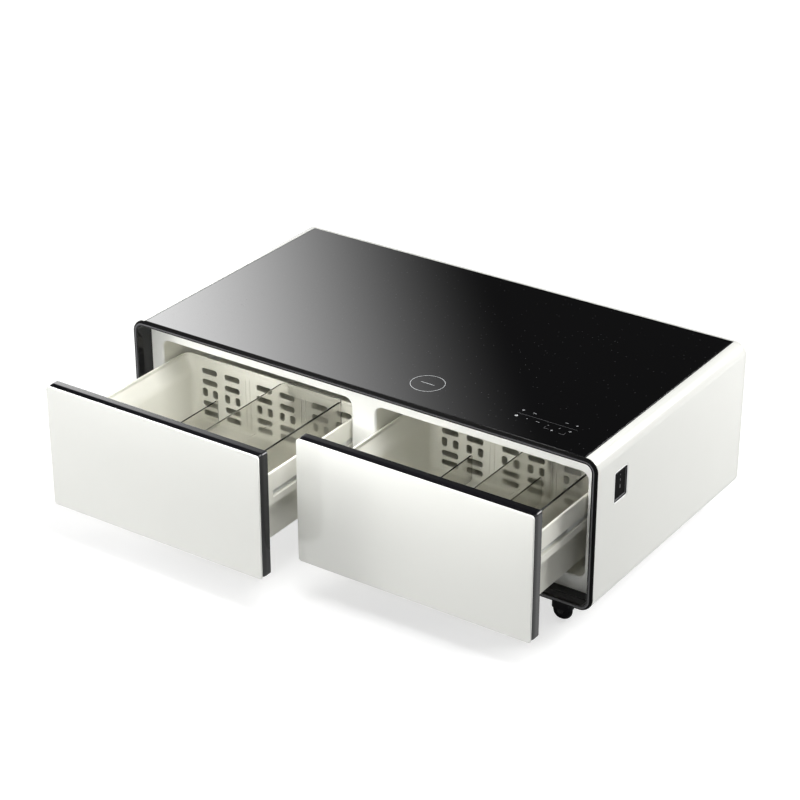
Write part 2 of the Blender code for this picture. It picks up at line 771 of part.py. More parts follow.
def condenser_fan(middle, front, frame):
    """The fan's frame with its struts and shaft, and the rotor that turns on it."""
    back = front + FAN_DEPTH
    height = CAVITY_BOTTOM + FIT + FAN_SIZE / 2
    half = FAN_SIZE / 2
    square = rectangle((-half, -half), (half, half))
    bore = arc((0, 0), FAN_BORE_RADIUS, 0, 4, ROUND_SIDES)[:-1]
    axis = guide("fan_axis", (middle, front, height), frame)
    housing = prism("condenser_fan_frame", [square, bore], (0, FAN_DEPTH), "Y", axis, "black_matt")
    strut_span = (FAN_DEPTH - FAN_STRUT_DEPTH, FAN_DEPTH - JOIN_OVERLAP)
    reach = (-half + JOIN_OVERLAP, half - JOIN_OVERLAP)
    width = (-FAN_STRUT_WIDTH / 2, FAN_STRUT_WIDTH / 2)
    upright = block("fan_strut_upright", width, strut_span, reach, axis)
    level = block("fan_strut_level", reach, strut_span, width, axis)
    boss_front = FAN_DEPTH - FAN_STRUT_DEPTH - JOIN_OVERLAP
    boss = round_bar("fan_boss", FAN_BOSS_RADIUS, (boss_front, FAN_DEPTH), (0, 0), "Y", axis)
    hub_back = boss_front - FIT
    hub_front = hub_back - FAN_HUB_DEPTH
    shaft_front = hub_back - FAN_SHAFT_REACH
    shaft = round_bar(
        "fan_shaft", FAN_SHAFT_RADIUS, (shaft_front, FAN_DEPTH - JOIN_OVERLAP), (0, 0), "Y", axis,
        sides=SMALL_SIDES,
    )
    join(housing, upright, level, boss, shaft)

    rotor = round_bar(
        "condenser_fan_rotor", FAN_HUB_RADIUS, (hub_front, hub_back), (0, 0), "Y", axis, "black_gloss"
    )
    tip = FAN_BORE_RADIUS - FAN_TIP_GAP
    inner = FAN_HUB_RADIUS - 2 * JOIN_OVERLAP
    for i in range(BLADE_COUNT):
        form = bmesh.new()
        bmesh.ops.create_cube(form, size=1)
        bmesh.ops.scale(form, vec=(tip - inner, BLADE_THICKNESS, BLADE_WIDTH), verts=form.verts)
        bmesh.ops.rotate(
            form, cent=(0, 0, 0), matrix=Matrix.Rotation(BLADE_PITCH, 3, "X"), verts=form.verts
        )
        bmesh.ops.translate(form, vec=((tip + inner) / 2, 0, 0), verts=form.verts)
        turn = Matrix.Rotation(2 * math.pi * i / BLADE_COUNT, 4, "Y")
        blade = put("fan_blade", mesh_of("fan_blade", form, turn), axis)
        blade.location = (0, (hub_front + hub_back) / 2, 0)
        join(rotor, blade)
    bore_cut = round_bar(
        "rotor_bore", FAN_SHAFT_RADIUS + FIT, (shaft_front - FIT, back), (0, 0), "Y", axis,
        sides=SMALL_SIDES,
    )
    cut(rotor, bore_cut)


def control_box(frame):
    length, depth, height = CONTROL_BOX
    middle = CONTROL_BOX_SHARE * CAVITY_HALF
    front = FOAM_BACK + FIT
    base = CAVITY_BOTTOM + CONTROL_BOX_HEIGHT
    block(
        "control_box",
        (middle - length / 2, middle + length / 2),
        (front, front + depth),
        (base, base + height),
        frame,
        "grey_sheet",
    )


def rear_panel(frame):
    panel = prism(
        "rear_panel", [body_outline()], (REAR_PANEL_FRONT, DEPTH), "Y", frame, "white_gloss"
    )
    half = (VENT_LENGTH / 2, VENT_HEIGHT / 2)
    slot = rectangle((-half[0], -half[1]), half)
    mesh = flat_mesh("vent", [slot], REAR_PANEL + 2 * CUT_OVERRUN, "Y")
    middles = (CONDENSER_SHARE * CAVITY_HALF, -CONDENSER_SHARE * CAVITY_HALF)
    depth = REAR_PANEL_FRONT + REAR_PANEL / 2
    places = [
        (
            middle + (column - (VENT_COLUMNS - 1) / 2) * VENT_COLUMN_PITCH,
            depth,
            BODY_BOTTOM + VENT_BASE + row * VENT_PITCH,
        )
        for middle in middles
        for column in range(VENT_COLUMNS)
        for row in range(VENT_ROWS)
    ]
    vents = put("vents", copies("vents", [(mesh, place) for place in places]), frame)
    xs, zs = inlet_spans(FIT)
    hole = block("inlet_hole", xs, (REAR_PANEL_FRONT - CUT_OVERRUN, DEPTH + CUT_OVERRUN), zs, frame)
    cut(panel, vents, hole)


def inlet_spans(grow=0):
    base = BODY_BOTTOM + INLET_BASE
    half = INLET_WIDTH / 2
    return (-half - grow, half + grow), (base - grow, base + INLET_HEIGHT + grow)


def power_inlet(frame):
    xs, zs = inlet_spans()
    inlet = block("power_inlet", xs, (DEPTH - INLET_DEPTH, DEPTH), zs, frame, "black_matt")
    height = (zs[0] + zs[1]) / 2
    half = (INLET_POCKET[0] / 2, INLET_POCKET[1] / 2)
    floor = DEPTH - INLET_POCKET_DEPTH
    pocket = prism(
        "inlet_pocket",
        [rounded((-half[0], height - half[1]), (half[0], height + half[1]), INLET_POCKET_RADIUS)],
        (floor, DEPTH + CUT_OVERRUN),
        "Y",
        frame,
    )
    cut(inlet, pocket)
    thick, reach, tall = INLET_PIN
    for i in (-1, 0, 1):
        pin = block(
            "inlet_pin",
            (i * INLET_PIN_PITCH - thick / 2, i * INLET_PIN_PITCH + thick / 2),
            (floor - JOIN_OVERLAP, floor + reach),
            (height - tall / 2, height + tall / 2),
            frame,
        )
        join(inlet, pin)


# Castors
def castor(corner, side, depth, frame):
    """One castor: the plate with its kingpin, the fork with its axle, and the wheel."""
    swivel = guide(corner + "_castor_swivel", (side * (HALF_WIDTH - CASTOR_SIDE_INSET), depth, 0), frame)
    plate_top = BODY_BOTTOM - FIT
    plate_bottom = plate_top - MOUNT_PLATE
    half = MOUNT_SIZE / 2
    mount = block(
        corner + "_castor_mount", (-half, half), (-half, half), (plate_bottom, plate_top), swivel, "steel"
    )
    fork_top = plate_bottom - SWIVEL_BOSS_HEIGHT - FIT
    fork_low = fork_top - FORK_PLATE
    head_top = fork_low - FIT
    kingpin = turned(
        corner + "_kingpin",
        [
            (0, plate_top - JOIN_OVERLAP),
            (SWIVEL_BOSS_RADIUS, plate_top - JOIN_OVERLAP),
            (SWIVEL_BOSS_RADIUS, fork_top + FIT),
            (KINGPIN_RADIUS, fork_top + FIT),
            (KINGPIN_RADIUS, head_top),
            (KINGPIN_HEAD_RADIUS, head_top),
            (KINGPIN_HEAD_RADIUS, head_top - KINGPIN_HEAD),
            (0, head_top - KINGPIN_HEAD),
        ],
        swivel,
        sides=SMALL_SIDES,
    )
    join(mount, kingpin)

    axle_height = WHEEL_DIAMETER / 2
    gap_half = WHEEL_WIDTH / 2 + FORK_SIDE_GAP
    fork_half = gap_half + FORK_LEG
    tail = CASTOR_TRAIL + FORK_END_RADIUS
    profile = [(-FORK_NOSE, fork_top), (-FORK_NOSE, fork_low)]
    profile += arc((CASTOR_TRAIL, axle_height), FORK_END_RADIUS, 2, 4, CORNER_STEPS)
    profile += [(tail, fork_top)]
    if side > 0:
        profile = mirror_x(profile)
    fork = prism(corner + "_castor_fork", [profile], (-fork_half, fork_half), "Y", swivel, "black_metal")
    reach = tail + CUT_OVERRUN
    wheel_space = block(
        corner + "_wheel_space",
        (-reach, reach),
        (-gap_half, gap_half),
        (-CUT_OVERRUN, fork_low),
        swivel,
    )
    pin_hole = round_bar(
        corner + "_kingpin_hole",
        KINGPIN_RADIUS + FIT,
        (fork_low - CUT_OVERRUN, fork_top + CUT_OVERRUN / 2),
        (0, 0),
        "Z",
        swivel,
        sides=SMALL_SIDES,
    )
    trail = -side * CASTOR_TRAIL
    axle = round_bar(
        corner + "_axle",
        AXLE_DIAMETER / 2,
        (-fork_half - AXLE_HEAD, fork_half + AXLE_HEAD),
        (trail, axle_height),
        "Y",
        swivel,
        sides=SMALL_SIDES,
    )
    cut(fork, wheel_space, pin_hole)
    join(fork, axle)

    rim = WHEEL_DIAMETER / 2
    bore = AXLE_DIAMETER / 2 + FIT
    width = WHEEL_WIDTH / 2
    edge = WHEEL_ROUND
    tread = [(bore, width), (rim - edge, width)]
    tread += [(rim, width - edge), (rim, edge - width), (rim - edge, -width), (bore, -width)]
    turned(
        corner + "_castor_wheel",
        tread,
        swivel,
        (trail, 0, axle_height),
        "black_matt",
        "Y",
        closed=True,
        sides=WHEEL_SIDES,
    )


def castors(frame):
    depths = {"front": CASTOR_FRONT_INSET, "rear": DEPTH - CASTOR_REAR_INSET}
    for end, depth in depths.items():
        for hand, side in (("left", -1), ("right", 1)):
            castor(end + "_" + hand, side, depth, frame)


# Drawers
def front_face(name, frame):
    prism(
        name + "_front_glass",
        [centred(FRONT_HALF, FRONT_BOTTOM, FRONT_TOP, FRONT_GLASS_RADIUS)],
        (0, FRONT_GLASS),
        "Y",
        frame,
        "white_gloss",
    )
    prism(
        name + "_front_frame",
        [front_outline(0, FRAME_RADIUS), front_outline(FRAME_WALL, FIT)],
        (FRONT_GLASS + FIT, FRONT_THICKNESS),
        "Y",
        frame,
        "black_metal",
    )
    core = prism(
        name + "_front_core",
        [front_outline(FRAME_WALL + FIT, FIT)],
        (FRONT_GLASS + FIT, FRONT_THICKNESS),
        "Y",
        frame,
        "beige_plastic",
    )
    plug = prism(
        name + "_core_plug",
        [opening_outline(0, -CORE_CLEARANCE)],
        (FRONT_THICKNESS - JOIN_OVERLAP, CORE_BACK),
        "Y",
        frame,
    )
    join(core, plug)
    prism(
        name + "_gasket",
        [opening_outline(0, GASKET_MARGIN + GASKET_WIDTH), opening_outline(0, GASKET_MARGIN)],
        (FRONT_THICKNESS + FIT, FRONT_THICKNESS + FIT + GASKET_THICKNESS),
        "Y",
        frame,
        "seal_grey",
    )


def front_outline(inset, radius):
    return centred(FRONT_HALF - inset, FRONT_BOTTOM + inset, FRONT_TOP - inset, radius)


def bin_slots(name, frame):
    """The air slots of the rear wall: rows of long slots in pairs, and a row of short ones."""
    depth = BIN_BACK - BIN_WALL / 2
    through = BIN_WALL + 2 * CUT_OVERRUN
    inner_height = BIN_TOP - BIN_FLOOR

    def slot_mesh(width, height):
        half = (width / 2, height / 2)
        radius = SLOT_ROUND_SHARE * min(width, height)
        outline = rounded((-half[0], -half[1]), half, radius, SLOT_STEPS)
        return flat_mesh(name + "_slot", [outline], through, "Y")

    long_slot = slot_mesh(SLOT_LENGTH, SLOT_HEIGHT_SHARE * inner_height)
    short_slot = slot_mesh(SHORT_SLOT_WIDTH, SHORT_SLOT_HEIGHT_SHARE * inner_height)
    shapes = []
    for share in SLOT_PAIR_SHARES:
        for offset in (-SLOT_PAIR_OFFSET, SLOT_PAIR_OFFSET):
            x = share * BIN_LOWER_INNER + offset
            for row in SLOT_ROW_SHARES:
                shapes.append((long_slot, (x, depth, BIN_FLOOR + row * inner_height)))
            height = BIN_FLOOR + SHORT_SLOT_ROW_SHARE * inner_height
            for side in (-1, 1):
                shapes.append((short_slot, (x + side * SHORT_SLOT_OFFSET, depth, height)))
    return put(name + "_slots", copies(name + "_slots", shapes), frame)


def drawer_bin(name, frame):
    """The tub: an upper band, a channel for the runner, a lip and a narrower lower part."""
    tub = prism(
        name + "_bin",
        [rounded((-BIN_HALF, BIN_FRONT), (BIN_HALF, BIN_BACK), (BIN_FRONT_RADIUS, BIN_REAR_RADIUS))],
        (BIN_BOTTOM, BIN_TOP),
        "Z",
        frame,
        "beige_plastic",
    )
    ys = (BIN_FRONT + BIN_FRONT_BLOCK, BIN_BACK + CUT_OVERRUN)
    outside = BIN_HALF + CUT_OVERRUN
    for side in (-1, 1):
        for part, inset, low, high in (
            ("lower", BIN_LOWER_HALF, BIN_BOTTOM - CUT_OVERRUN, LIP_BOTTOM),
            ("channel", CHANNEL_HALF, CHANNEL_BOTTOM, CHANNEL_TOP),
        ):
            xs = sorted((side * inset, side * outside))
            cut(tub, block(name + "_bin_" + part, xs, ys, (low, high), frame))
    for part, half, low in (
        ("lower_hollow", BIN_LOWER_INNER, BIN_FLOOR),
        ("upper_hollow", BIN_UPPER_INNER, LEDGE),
    ):
        hollow = prism(
            name + "_bin_" + part,
            [rounded((-half, BIN_INNER_FRONT), (half, BIN_INNER_BACK), (BIN_FRONT_RADIUS, BIN_INNER_RADIUS))],
            (low, BIN_TOP + CUT_OVERRUN),
            "Z",
            frame,
        )
        cut(tub, hollow)
    cut(tub, bin_slots(name, frame))


def basket(name, share, frame):
    """A clear basket that hangs by its flange on the tub's front and rear walls.

    Its rear corners are as round as the tub's, so that it reaches both sides.
    """
    guide_x = share * BASKET_REACH
    slide = guide(name + "_basket_slide", (guide_x, 0, 0), frame)
    low = (-BASKET_HALF, BIN_INNER_FRONT + FIT)
    high = (BASKET_HALF, BIN_INNER_BACK - FIT)
    tray = prism(
        name + "_basket",
        [rounded(low, high, (BASKET_RADIUS, BIN_INNER_RADIUS))],
        (BASKET_BOTTOM, BASKET_TOP),
        "Z",
        slide,
        "smoked_clear",
    )
    flange = prism(
        name + "_basket_flange",
        [
            rounded(
                (-BASKET_HALF, BIN_FRONT + JOIN_OVERLAP),
                (BASKET_HALF, BIN_BACK - JOIN_OVERLAP),
                BASKET_RADIUS,
            )
        ],
        (BIN_TOP + FIT, BASKET_TOP),
        "Z",
        slide,
    )
    inner_low = (low[0] + BASKET_WALL, low[1] + BASKET_WALL)
    inner_high = (high[0] - BASKET_WALL, high[1] - BASKET_WALL)
    inner_radii = (BASKET_RADIUS - BASKET_WALL, BIN_INNER_RADIUS - BASKET_WALL)
    hollow = prism(
        name + "_basket_hollow",
        [rounded(inner_low, inner_high, inner_radii)],
        (BASKET_BOTTOM + BASKET_WALL, BASKET_TOP + CUT_OVERRUN),
        "Z",
        slide,
    )
    join(tray, flange)
    cut(tray, hollow)


def dividers(name, shares, frame):
    for index, share in enumerate(shares, start=1):
        x = share * BIN_LOWER_INNER
        block(
            name + "_divider_" + str(index),
            (x - DIVIDER_THICKNESS / 2, x + DIVIDER_THICKNESS / 2),
            (BIN_INNER_FRONT + FIT, BIN_INNER_BACK - FIT),
            (BIN_FLOOR + FIT, DIVIDER_TOP),
            frame,
            "smoked_clear",
        )


# Runners: a drawer rail inside a middle rail inside a fixed rail, each a C section
def channel_outline(web, lips, height):
    """A C section with its web at one place, its lips reaching to another."""
    inward = 1 if lips > web else -1
    skin = web + inward * RAIL_SHEET
    half = height / 2
    inner = half - RAIL_SHEET
    return [
        (web, RAIL_MIDDLE - half),
        (lips, RAIL_MIDDLE - half),
        (lips, RAIL_MIDDLE - inner),
        (skin, RAIL_MIDDLE - inner),
        (skin, RAIL_MIDDLE + inner),
        (lips, RAIL_MIDDLE + inner),
        (lips, RAIL_MIDDLE + half),
        (web, RAIL_MIDDLE + half),
    ]


def runner(drawer, name, side, frames):
    """The three rails of one runner; side is +1 on the drawer's right and -1 on its left."""
    cabinet_frame, middle_frame, drawer_frame = frames
    nest = RAIL_SHEET + FIT

    def rail(kind, web, lips, height, span, frame):
        outline = channel_outline(web, lips, height)
        if side < 0:
            outline = mirror_x(outline)
        return prism(drawer + "_" + name + "_" + kind, [outline], span, "Y", frame, "steel")

    lip_end = RAIL_INNER + RAIL_SHEET
    fixed = rail("fixed_rail", RAIL_OUTER, lip_end, RAIL_HEIGHT, (RAIL_FRONT, RAIL_BACK), cabinet_frame)
    rail(
        "middle_rail",
        RAIL_OUTER - nest,
        lip_end,
        RAIL_HEIGHT - 2 * nest,
        (RAIL_FRONT, RAIL_BACK),
        middle_frame,
    )
    rail(
        "drawer_rail",
        RAIL_INNER,
        RAIL_OUTER - 2 * nest,
        RAIL_HEIGHT - 4 * nest,
        (BIN_FRONT + BIN_FRONT_BLOCK + FIT, BIN_BACK - DRAWER_RAIL_SETBACK),
        drawer_frame,
    )
    front = RAIL_FRONT + BRACKET_END_SETBACK
    back = RAIL_BACK - BRACKET_END_SETBACK
    xs = sorted((side * (RAIL_OUTER - RAIL_SHEET / 2), side * (OPENING_HALF - FIT)))
    zs = (RAIL_MIDDLE - BRACKET_HEIGHT / 2, RAIL_MIDDLE + BRACKET_HEIGHT / 2)
    for ys in ((front, front + BRACKET_LENGTH), (back - BRACKET_LENGTH, back)):
        join(fixed, block(drawer + "_" + name + "_bracket", xs, ys, zs, cabinet_frame))


def drawer(name, side, opened, basket_share, divider_shares, frame):
    middle = side * DRAWER_MIDDLE
    closed = guide(name + "_drawer_closed", (middle, CLOSED_FRONT, 0), frame)
    middle_rails = guide(name + "_middle_slide", (0, -opened / 2, 0), closed)
    moving = guide(name + "_drawer_slide", (0, -opened, 0), closed)
    front_face(name, moving)
    drawer_bin(name, moving)
    basket(name, basket_share, moving)
    dividers(name, divider_shares, moving)
    frames = (closed, middle_rails, moving)
    runner(name, "outboard" if side < 0 else "inboard", -1, frames)
    runner(name, "inboard" if side < 0 else "outboard", 1, frames)


def table():
    frame = guide("table_frame", (0, -MIDDLE_Y, 0))
    outer_shell(frame)
    front_bezel(frame)
    front_panel(frame)
    glass_top(frame)
    insulation_foam(frame)
    for name, side in (("left", -1), ("right", 1)):
        liner(name + "_liner", side * DRAWER_MIDDLE, frame)
        evaporator(name + "_evaporator", side * DRAWER_MIDDLE, frame)
    charging_and_touch(frame)
    power_socket(frame)
    compressor(frame)
    middle, back = condenser(frame)
    condenser_fan(middle, back, frame)
    control_box(frame)
    rear_panel(frame)
    power_inlet(frame)
    castors(frame)
    drawer("left", -1, LEFT_OPEN, LEFT_BASKET_SHARE, LEFT_DIVIDER_SHARES, frame)
    drawer("right", 1, RIGHT_OPEN, RIGHT_BASKET_SHARE, RIGHT_DIVIDER_SHARES, frame)


table()
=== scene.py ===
# %% [markdown]
# # A smart coffee table with two refrigerated drawers
# The table is a wide, low cabinet with a flush black glass top. Two insulated drawers slide out
# of its front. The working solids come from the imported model. This lesson dresses them with fine
# surfaces, worked out with numpy, and with procedural finishes.

# %% Load the frame
import math

import bmesh
import bpy
import numpy as np
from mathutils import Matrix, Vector


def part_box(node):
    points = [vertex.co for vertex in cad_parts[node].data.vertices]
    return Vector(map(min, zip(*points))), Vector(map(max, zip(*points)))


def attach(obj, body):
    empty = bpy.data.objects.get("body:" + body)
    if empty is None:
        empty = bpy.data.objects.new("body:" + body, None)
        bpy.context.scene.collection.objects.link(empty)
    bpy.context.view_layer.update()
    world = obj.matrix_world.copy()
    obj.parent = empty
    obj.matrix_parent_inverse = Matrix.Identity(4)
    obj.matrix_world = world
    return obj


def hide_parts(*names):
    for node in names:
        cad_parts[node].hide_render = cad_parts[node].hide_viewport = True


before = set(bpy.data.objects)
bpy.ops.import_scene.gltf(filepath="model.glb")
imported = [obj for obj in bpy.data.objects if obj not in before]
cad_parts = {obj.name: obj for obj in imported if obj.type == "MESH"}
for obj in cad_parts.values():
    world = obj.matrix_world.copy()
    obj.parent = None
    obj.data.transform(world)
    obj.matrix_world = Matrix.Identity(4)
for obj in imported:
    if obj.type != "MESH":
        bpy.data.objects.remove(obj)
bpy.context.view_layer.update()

# %% [markdown]
# ## Sizes
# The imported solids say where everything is, so most sizes are read from them. A few walls and
# roundings that no box can tell are named here: EDGE is the radius of the cabinet's long edges,
# FACE the width of its black surround, SHELL and LINER are walls, and FIT is the air between parts
# that lie in each other. Lengths are metres, +Y runs to the back.

# %% Sizes of the cabinet
rear_low, rear_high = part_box("rear_panel")
HALF, BASE, TOP, BACK = rear_high.x, rear_low.z, rear_high.z, rear_high.y
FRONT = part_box("front_bezel")[0].y
EDGE = 0.031
FACE = 0.0125
SHELL = 0.006
FIT = 0.0003
BODY = ((-HALF, BASE), (HALF, TOP))
panel_low, panel_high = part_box("front_panel")
liner_low, liner_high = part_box("left_liner")
LINER = 0.003
OPENING_HALF = (liner_high.x - liner_low.x) / 2 - LINER
OPENING = (liner_low.z + LINER, liner_high.z - LINER)
OPENING_ROUND = 0.020
MIDDLE = -(liner_high.x + liner_low.x) / 2
print("drawers stand", round(MIDDLE, 4), "m from the middle")

# %% [markdown]
# ## Shapes from rings
# Nearly every moulding here is a rectangle with round corners, seen along one axis: the cabinet,
# its surround, the openings, the tubs, the fronts. So one idea makes them all. A profile is a list
# of (offset, depth) pairs, and each pair gives one ring: the rectangle grown by the offset, set at
# that depth. The rings are computed together as one array, and quads join them.

# %% Rings, stacks and skins
CORNER_STEPS, BODY_STEPS = 10, 16
SHARP = 0.00002
ORDER = {"X": (2, 0, 1), "Y": (0, 2, 1), "Z": (0, 1, 2)}


def rings(low, high, radius, steps=CORNER_STEPS):
    """Rectangles with round corners, one a row, as an array (rows, points, 2).

    A corner point is its centre, one radius in from both sides, plus radius times the cosine
    and sine of an angle. radius holds one value a row, or one for the low side and one for the high.
    """
    quarter = np.linspace(0, np.pi / 2, steps + 1)
    angle = (quarter + np.arange(-1, 3)[:, None] * np.pi / 2).ravel()
    right = np.repeat([True, True, False, False], steps + 1)
    upper = np.repeat([False, True, True, False], steps + 1)
    radius = np.broadcast_to(radius, (len(low), 2))[:, upper.astype(int)]
    u = np.where(right, high[:, :1] - radius, low[:, :1] + radius)
    v = np.where(upper, high[:, 1:] - radius, low[:, 1:] + radius)
    return np.stack([u + radius * np.cos(angle), v + radius * np.sin(angle)], axis=-1)


def carried(low, high, radius, profile, axis="Y", steps=CORNER_STEPS):
    """A profile carried round a rectangle with round corners.

    Each (offset, depth) of the profile gives the rectangle grown by the offset on every side, its
    corner radius grown as much, at that depth along the axis.
    """
    offset, depth = np.asarray(profile, float).T
    grow = offset[:, None]
    radii = np.maximum(np.asarray(radius, float) + grow, SHARP)
    loops = rings(np.asarray(low) - grow, np.asarray(high) + grow, radii, steps)
    depths = np.broadcast_to(depth[:, None, None], loops.shape[:2] + (1,))
    return np.concatenate([loops, depths], axis=-1)[..., ORDER[axis]]


def turned(centre, profile, axis="Z", steps=CORNER_STEPS):
    """A turned shape: its profile is (radius, depth), carried round a point."""
    return carried(centre, centre, 0, profile, axis, steps)


def skin(grid, closed=False):
    """Points and faces over a grid of rings: quads between neighbours, and flat ends unless closed."""
    index = np.arange(grid.shape[0] * grid.shape[1]).reshape(grid.shape[:2])
    near = index if closed else index[:-1]
    far = np.roll(index, -1, 0) if closed else index[1:]
    quads = np.stack([near, np.roll(near, -1, 1), np.roll(far, -1, 1), far], -1)
    ends = [] if closed else [index[0][::-1].tolist(), index[-1].tolist()]
    return grid.reshape(-1, 3), quads.reshape(-1, 4).tolist() + ends


def eased(points, reach, closed=False, steps=4):
    """A polyline with its corners rounded.

    Near a corner P the line follows P + (1 - s)^2 a + s^2 b, where a and b point from P along its
    two sides and are as long as the reach. One reach serves all corners, or there is one for each.
    """
    points = np.asarray(points, float)
    reach = np.broadcast_to(reach, len(points))[:, None]
    sides = [np.roll(points, shift, 0) - points for shift in (1, -1)]
    lengths = [np.linalg.norm(side, axis=1, keepdims=True) for side in sides]
    a, b = (side / np.maximum(length, 1e-9) * reach for side, length in zip(sides, lengths))
    s = np.linspace(0, 1, steps + 1)[None, :, None]
    curve = points[:, None] + (1 - s) ** 2 * a[:, None] + s**2 * b[:, None]
    if closed:
        return curve.reshape(-1, 2)
    return np.concatenate([points[:1], curve[1:-1].reshape(-1, 2), points[-1:]])


def round_cabinet(profile, closed=False):
    """A profile carried round the cabinet's outline as the front shows it."""
    return skin(carried(*BODY, EDGE, profile, "Y", BODY_STEPS), closed)


def rectangle(low, high):
    """The four corners of a rectangle, in order."""
    return [(low[0], low[1]), (high[0], low[1]), (high[0], high[1]), (low[0], high[1])]


print("a ring has", len(rings(np.zeros((1, 2)), np.ones((1, 2)), 0.1)[0]), "points")

# %% [markdown]
# ## From arrays to pieces
# A piece gets its points and faces at once. Doubled points at sharp corners are merged and the
# faces turned outwards, because a renderer takes the outside from them. Holes come from solid
# tools that are cut out for good, so the piece's own mesh has them too. Narrow bevels and weighted
# normals make the edges catch light like moulded ones.

# %% Making, cutting and finishing pieces
WELD = 0.000004
SHARP_ANGLE = math.radians(32)


def add(name, *shapes):
    """An object of one or more closed shapes, each a pair of points and faces."""
    points, faces, start = [], [], 0
    for shape_points, shape_faces in shapes:
        points += shape_points.tolist()
        faces += [[start + i for i in face] for face in shape_faces]
        start = len(points)
    mesh = bpy.data.meshes.new(name)
    mesh.from_pydata(points, [], faces)
    form = bmesh.new()
    form.from_mesh(mesh)
    bmesh.ops.remove_doubles(form, verts=form.verts, dist=WELD)
    bmesh.ops.recalc_face_normals(form, faces=form.faces)
    form.to_mesh(mesh)
    form.free()
    piece = bpy.data.objects.new(name, mesh)
    bpy.context.scene.collection.objects.link(piece)
    return piece


def block(low, high, reach=0.0, axis="Z", radius=SHARP):
    """A box between two corners, with its end faces' edges and its four upright edges rounded."""
    along = "XYZ".index(axis)
    base, top = low[along], high[along]
    profile = eased([(-2 * reach, base), (0, base), (0, top), (-2 * reach, top)], reach)
    flat = [[corner[i] for i in range(3) if i != along] for corner in (low, high)]
    return skin(carried(*flat, max(radius, 2 * reach + SHARP), profile, axis))


def settle(piece):
    """Applies the modifiers of a piece for good."""
    bpy.context.view_layer.update()
    seen = piece.evaluated_get(bpy.context.evaluated_depsgraph_get())
    mesh = bpy.data.meshes.new_from_object(seen)
    piece.modifiers.clear()
    piece.data = mesh
    return piece


def carve(piece, *tools, how="DIFFERENCE"):
    """Cuts the tools out of a piece, or joins them to it, and removes them."""
    for tool in tools:
        step = piece.modifiers.new("carve", "BOOLEAN")
        step.operation = how
        step.object = tool
    settle(piece)
    for tool in tools:
        bpy.data.objects.remove(tool)
    return piece


def bevelled(piece, width, segments=2, angle=40):
    """A narrow rounding on every edge sharper than the angle."""
    bevel = piece.modifiers.new("bevel", "BEVEL")
    bevel.width = width
    bevel.segments = segments
    bevel.limit_method = "ANGLE"
    bevel.angle_limit = math.radians(angle)
    bevel.use_clamp_overlap = True
    return piece


def dress(piece, material, body, *nodes, slot=None):
    """Shades a piece, gives it its material and hands it to the body that it rides on."""
    piece.data.materials.clear()
    piece.data.materials.append(material)
    piece.data.shade_smooth()
    piece.data.set_sharp_from_angle(angle=SHARP_ANGLE)
    weights = piece.modifiers.new("weights", "WEIGHTED_NORMAL")
    weights.keep_sharp = True
    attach(piece, body)
    if nodes:
        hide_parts(*nodes)
    return piece


def dress_node(node, material, width=0.0004):
    """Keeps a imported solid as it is, with a material and a narrow bevel over its merged points."""
    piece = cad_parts[node]
    piece.data.materials.clear()
    piece.data.materials.append(material)
    weld = piece.modifiers.new("weld", "WELD")
    weld.merge_threshold = WELD
    bevelled(piece, width)
    return piece


print("tools ready")

# %% [markdown]
# ## Shader effects
# Real finishes are never one even colour. Mouldings are faintly mottled, gloss carries hand marks
# that change its roughness, moulded plastic has a fine grain, and the glass has sparse specks.
# Each effect is a node group, built once, and every material places it with its own values. The
# groups put out only colours, masks and heights, so that they can also be baked.

# %% Nodes by name
def node(tree, kind, links=(), **settings):
    """A node with its settings, and links from other sockets to its inputs."""
    made = tree.nodes.new("ShaderNode" + kind)
    for title, value in settings.items():
        setattr(made, title, value)
    for target, source in dict(links).items():
        if hasattr(source, "is_output"):
            tree.links.new(source, made.inputs[target])
        else:
            made.inputs[target].default_value = source
    return made


def maths(tree, how, first, second):
    """The result of a Math node on two numbers or sockets."""
    return node(tree, "Math", {0: first, 1: second}, operation=how).outputs[0]


def ramp(tree, value, start, end, low=0.0, high=1.0, ease="LINEAR"):
    """A value carried from one range to another by a Map Range node, and held at both ends."""
    span = {"Value": value, "From Min": start, "From Max": end, "To Min": low, "To Max": high}
    return node(tree, "MapRange", span, interpolation_type=ease).outputs["Result"]


def node_group(name, inputs, outputs):
    """An empty group, with the sockets of its input and output nodes and the Object coordinates."""
    group = bpy.data.node_groups.new(name, "ShaderNodeTree")
    for side, titles in (("INPUT", inputs), ("OUTPUT", outputs)):
        for title in titles:
            kind = "NodeSocketColor" if title == "Colour" else "NodeSocketFloat"
            socket = group.interface.new_socket(title, in_out=side, socket_type=kind)
            if side == "INPUT":
                socket.default_value = inputs[title]
    given, result = (group.nodes.new(kind) for kind in ("NodeGroupInput", "NodeGroupOutput"))
    return group, given.outputs, result.inputs, node(group, "TexCoord").outputs["Object"]


print("node helpers ready")


# %% Node groups
def mottle_group():
    """A colour that wanders a little lighter and darker, in soft clouds."""
    inputs = {"Colour": (0.8, 0.8, 0.8, 1), "Variation": 0.03, "Scale": 6.0}
    group, given, result, place = node_group("mottle", inputs, ["Colour"])
    clouds = node(group, "TexNoise", {"Vector": place, "Scale": given["Scale"], "Detail": 3.0})
    swing = ramp(group, clouds.outputs["Fac"], 0.3, 0.7, -1.0)
    value = maths(group, "ADD", maths(group, "MULTIPLY", swing, given["Variation"]), 1.0)
    tint = node(group, "HueSaturation", {"Color": given["Colour"], "Value": value})
    group.links.new(tint.outputs["Color"], result["Colour"])
    return group


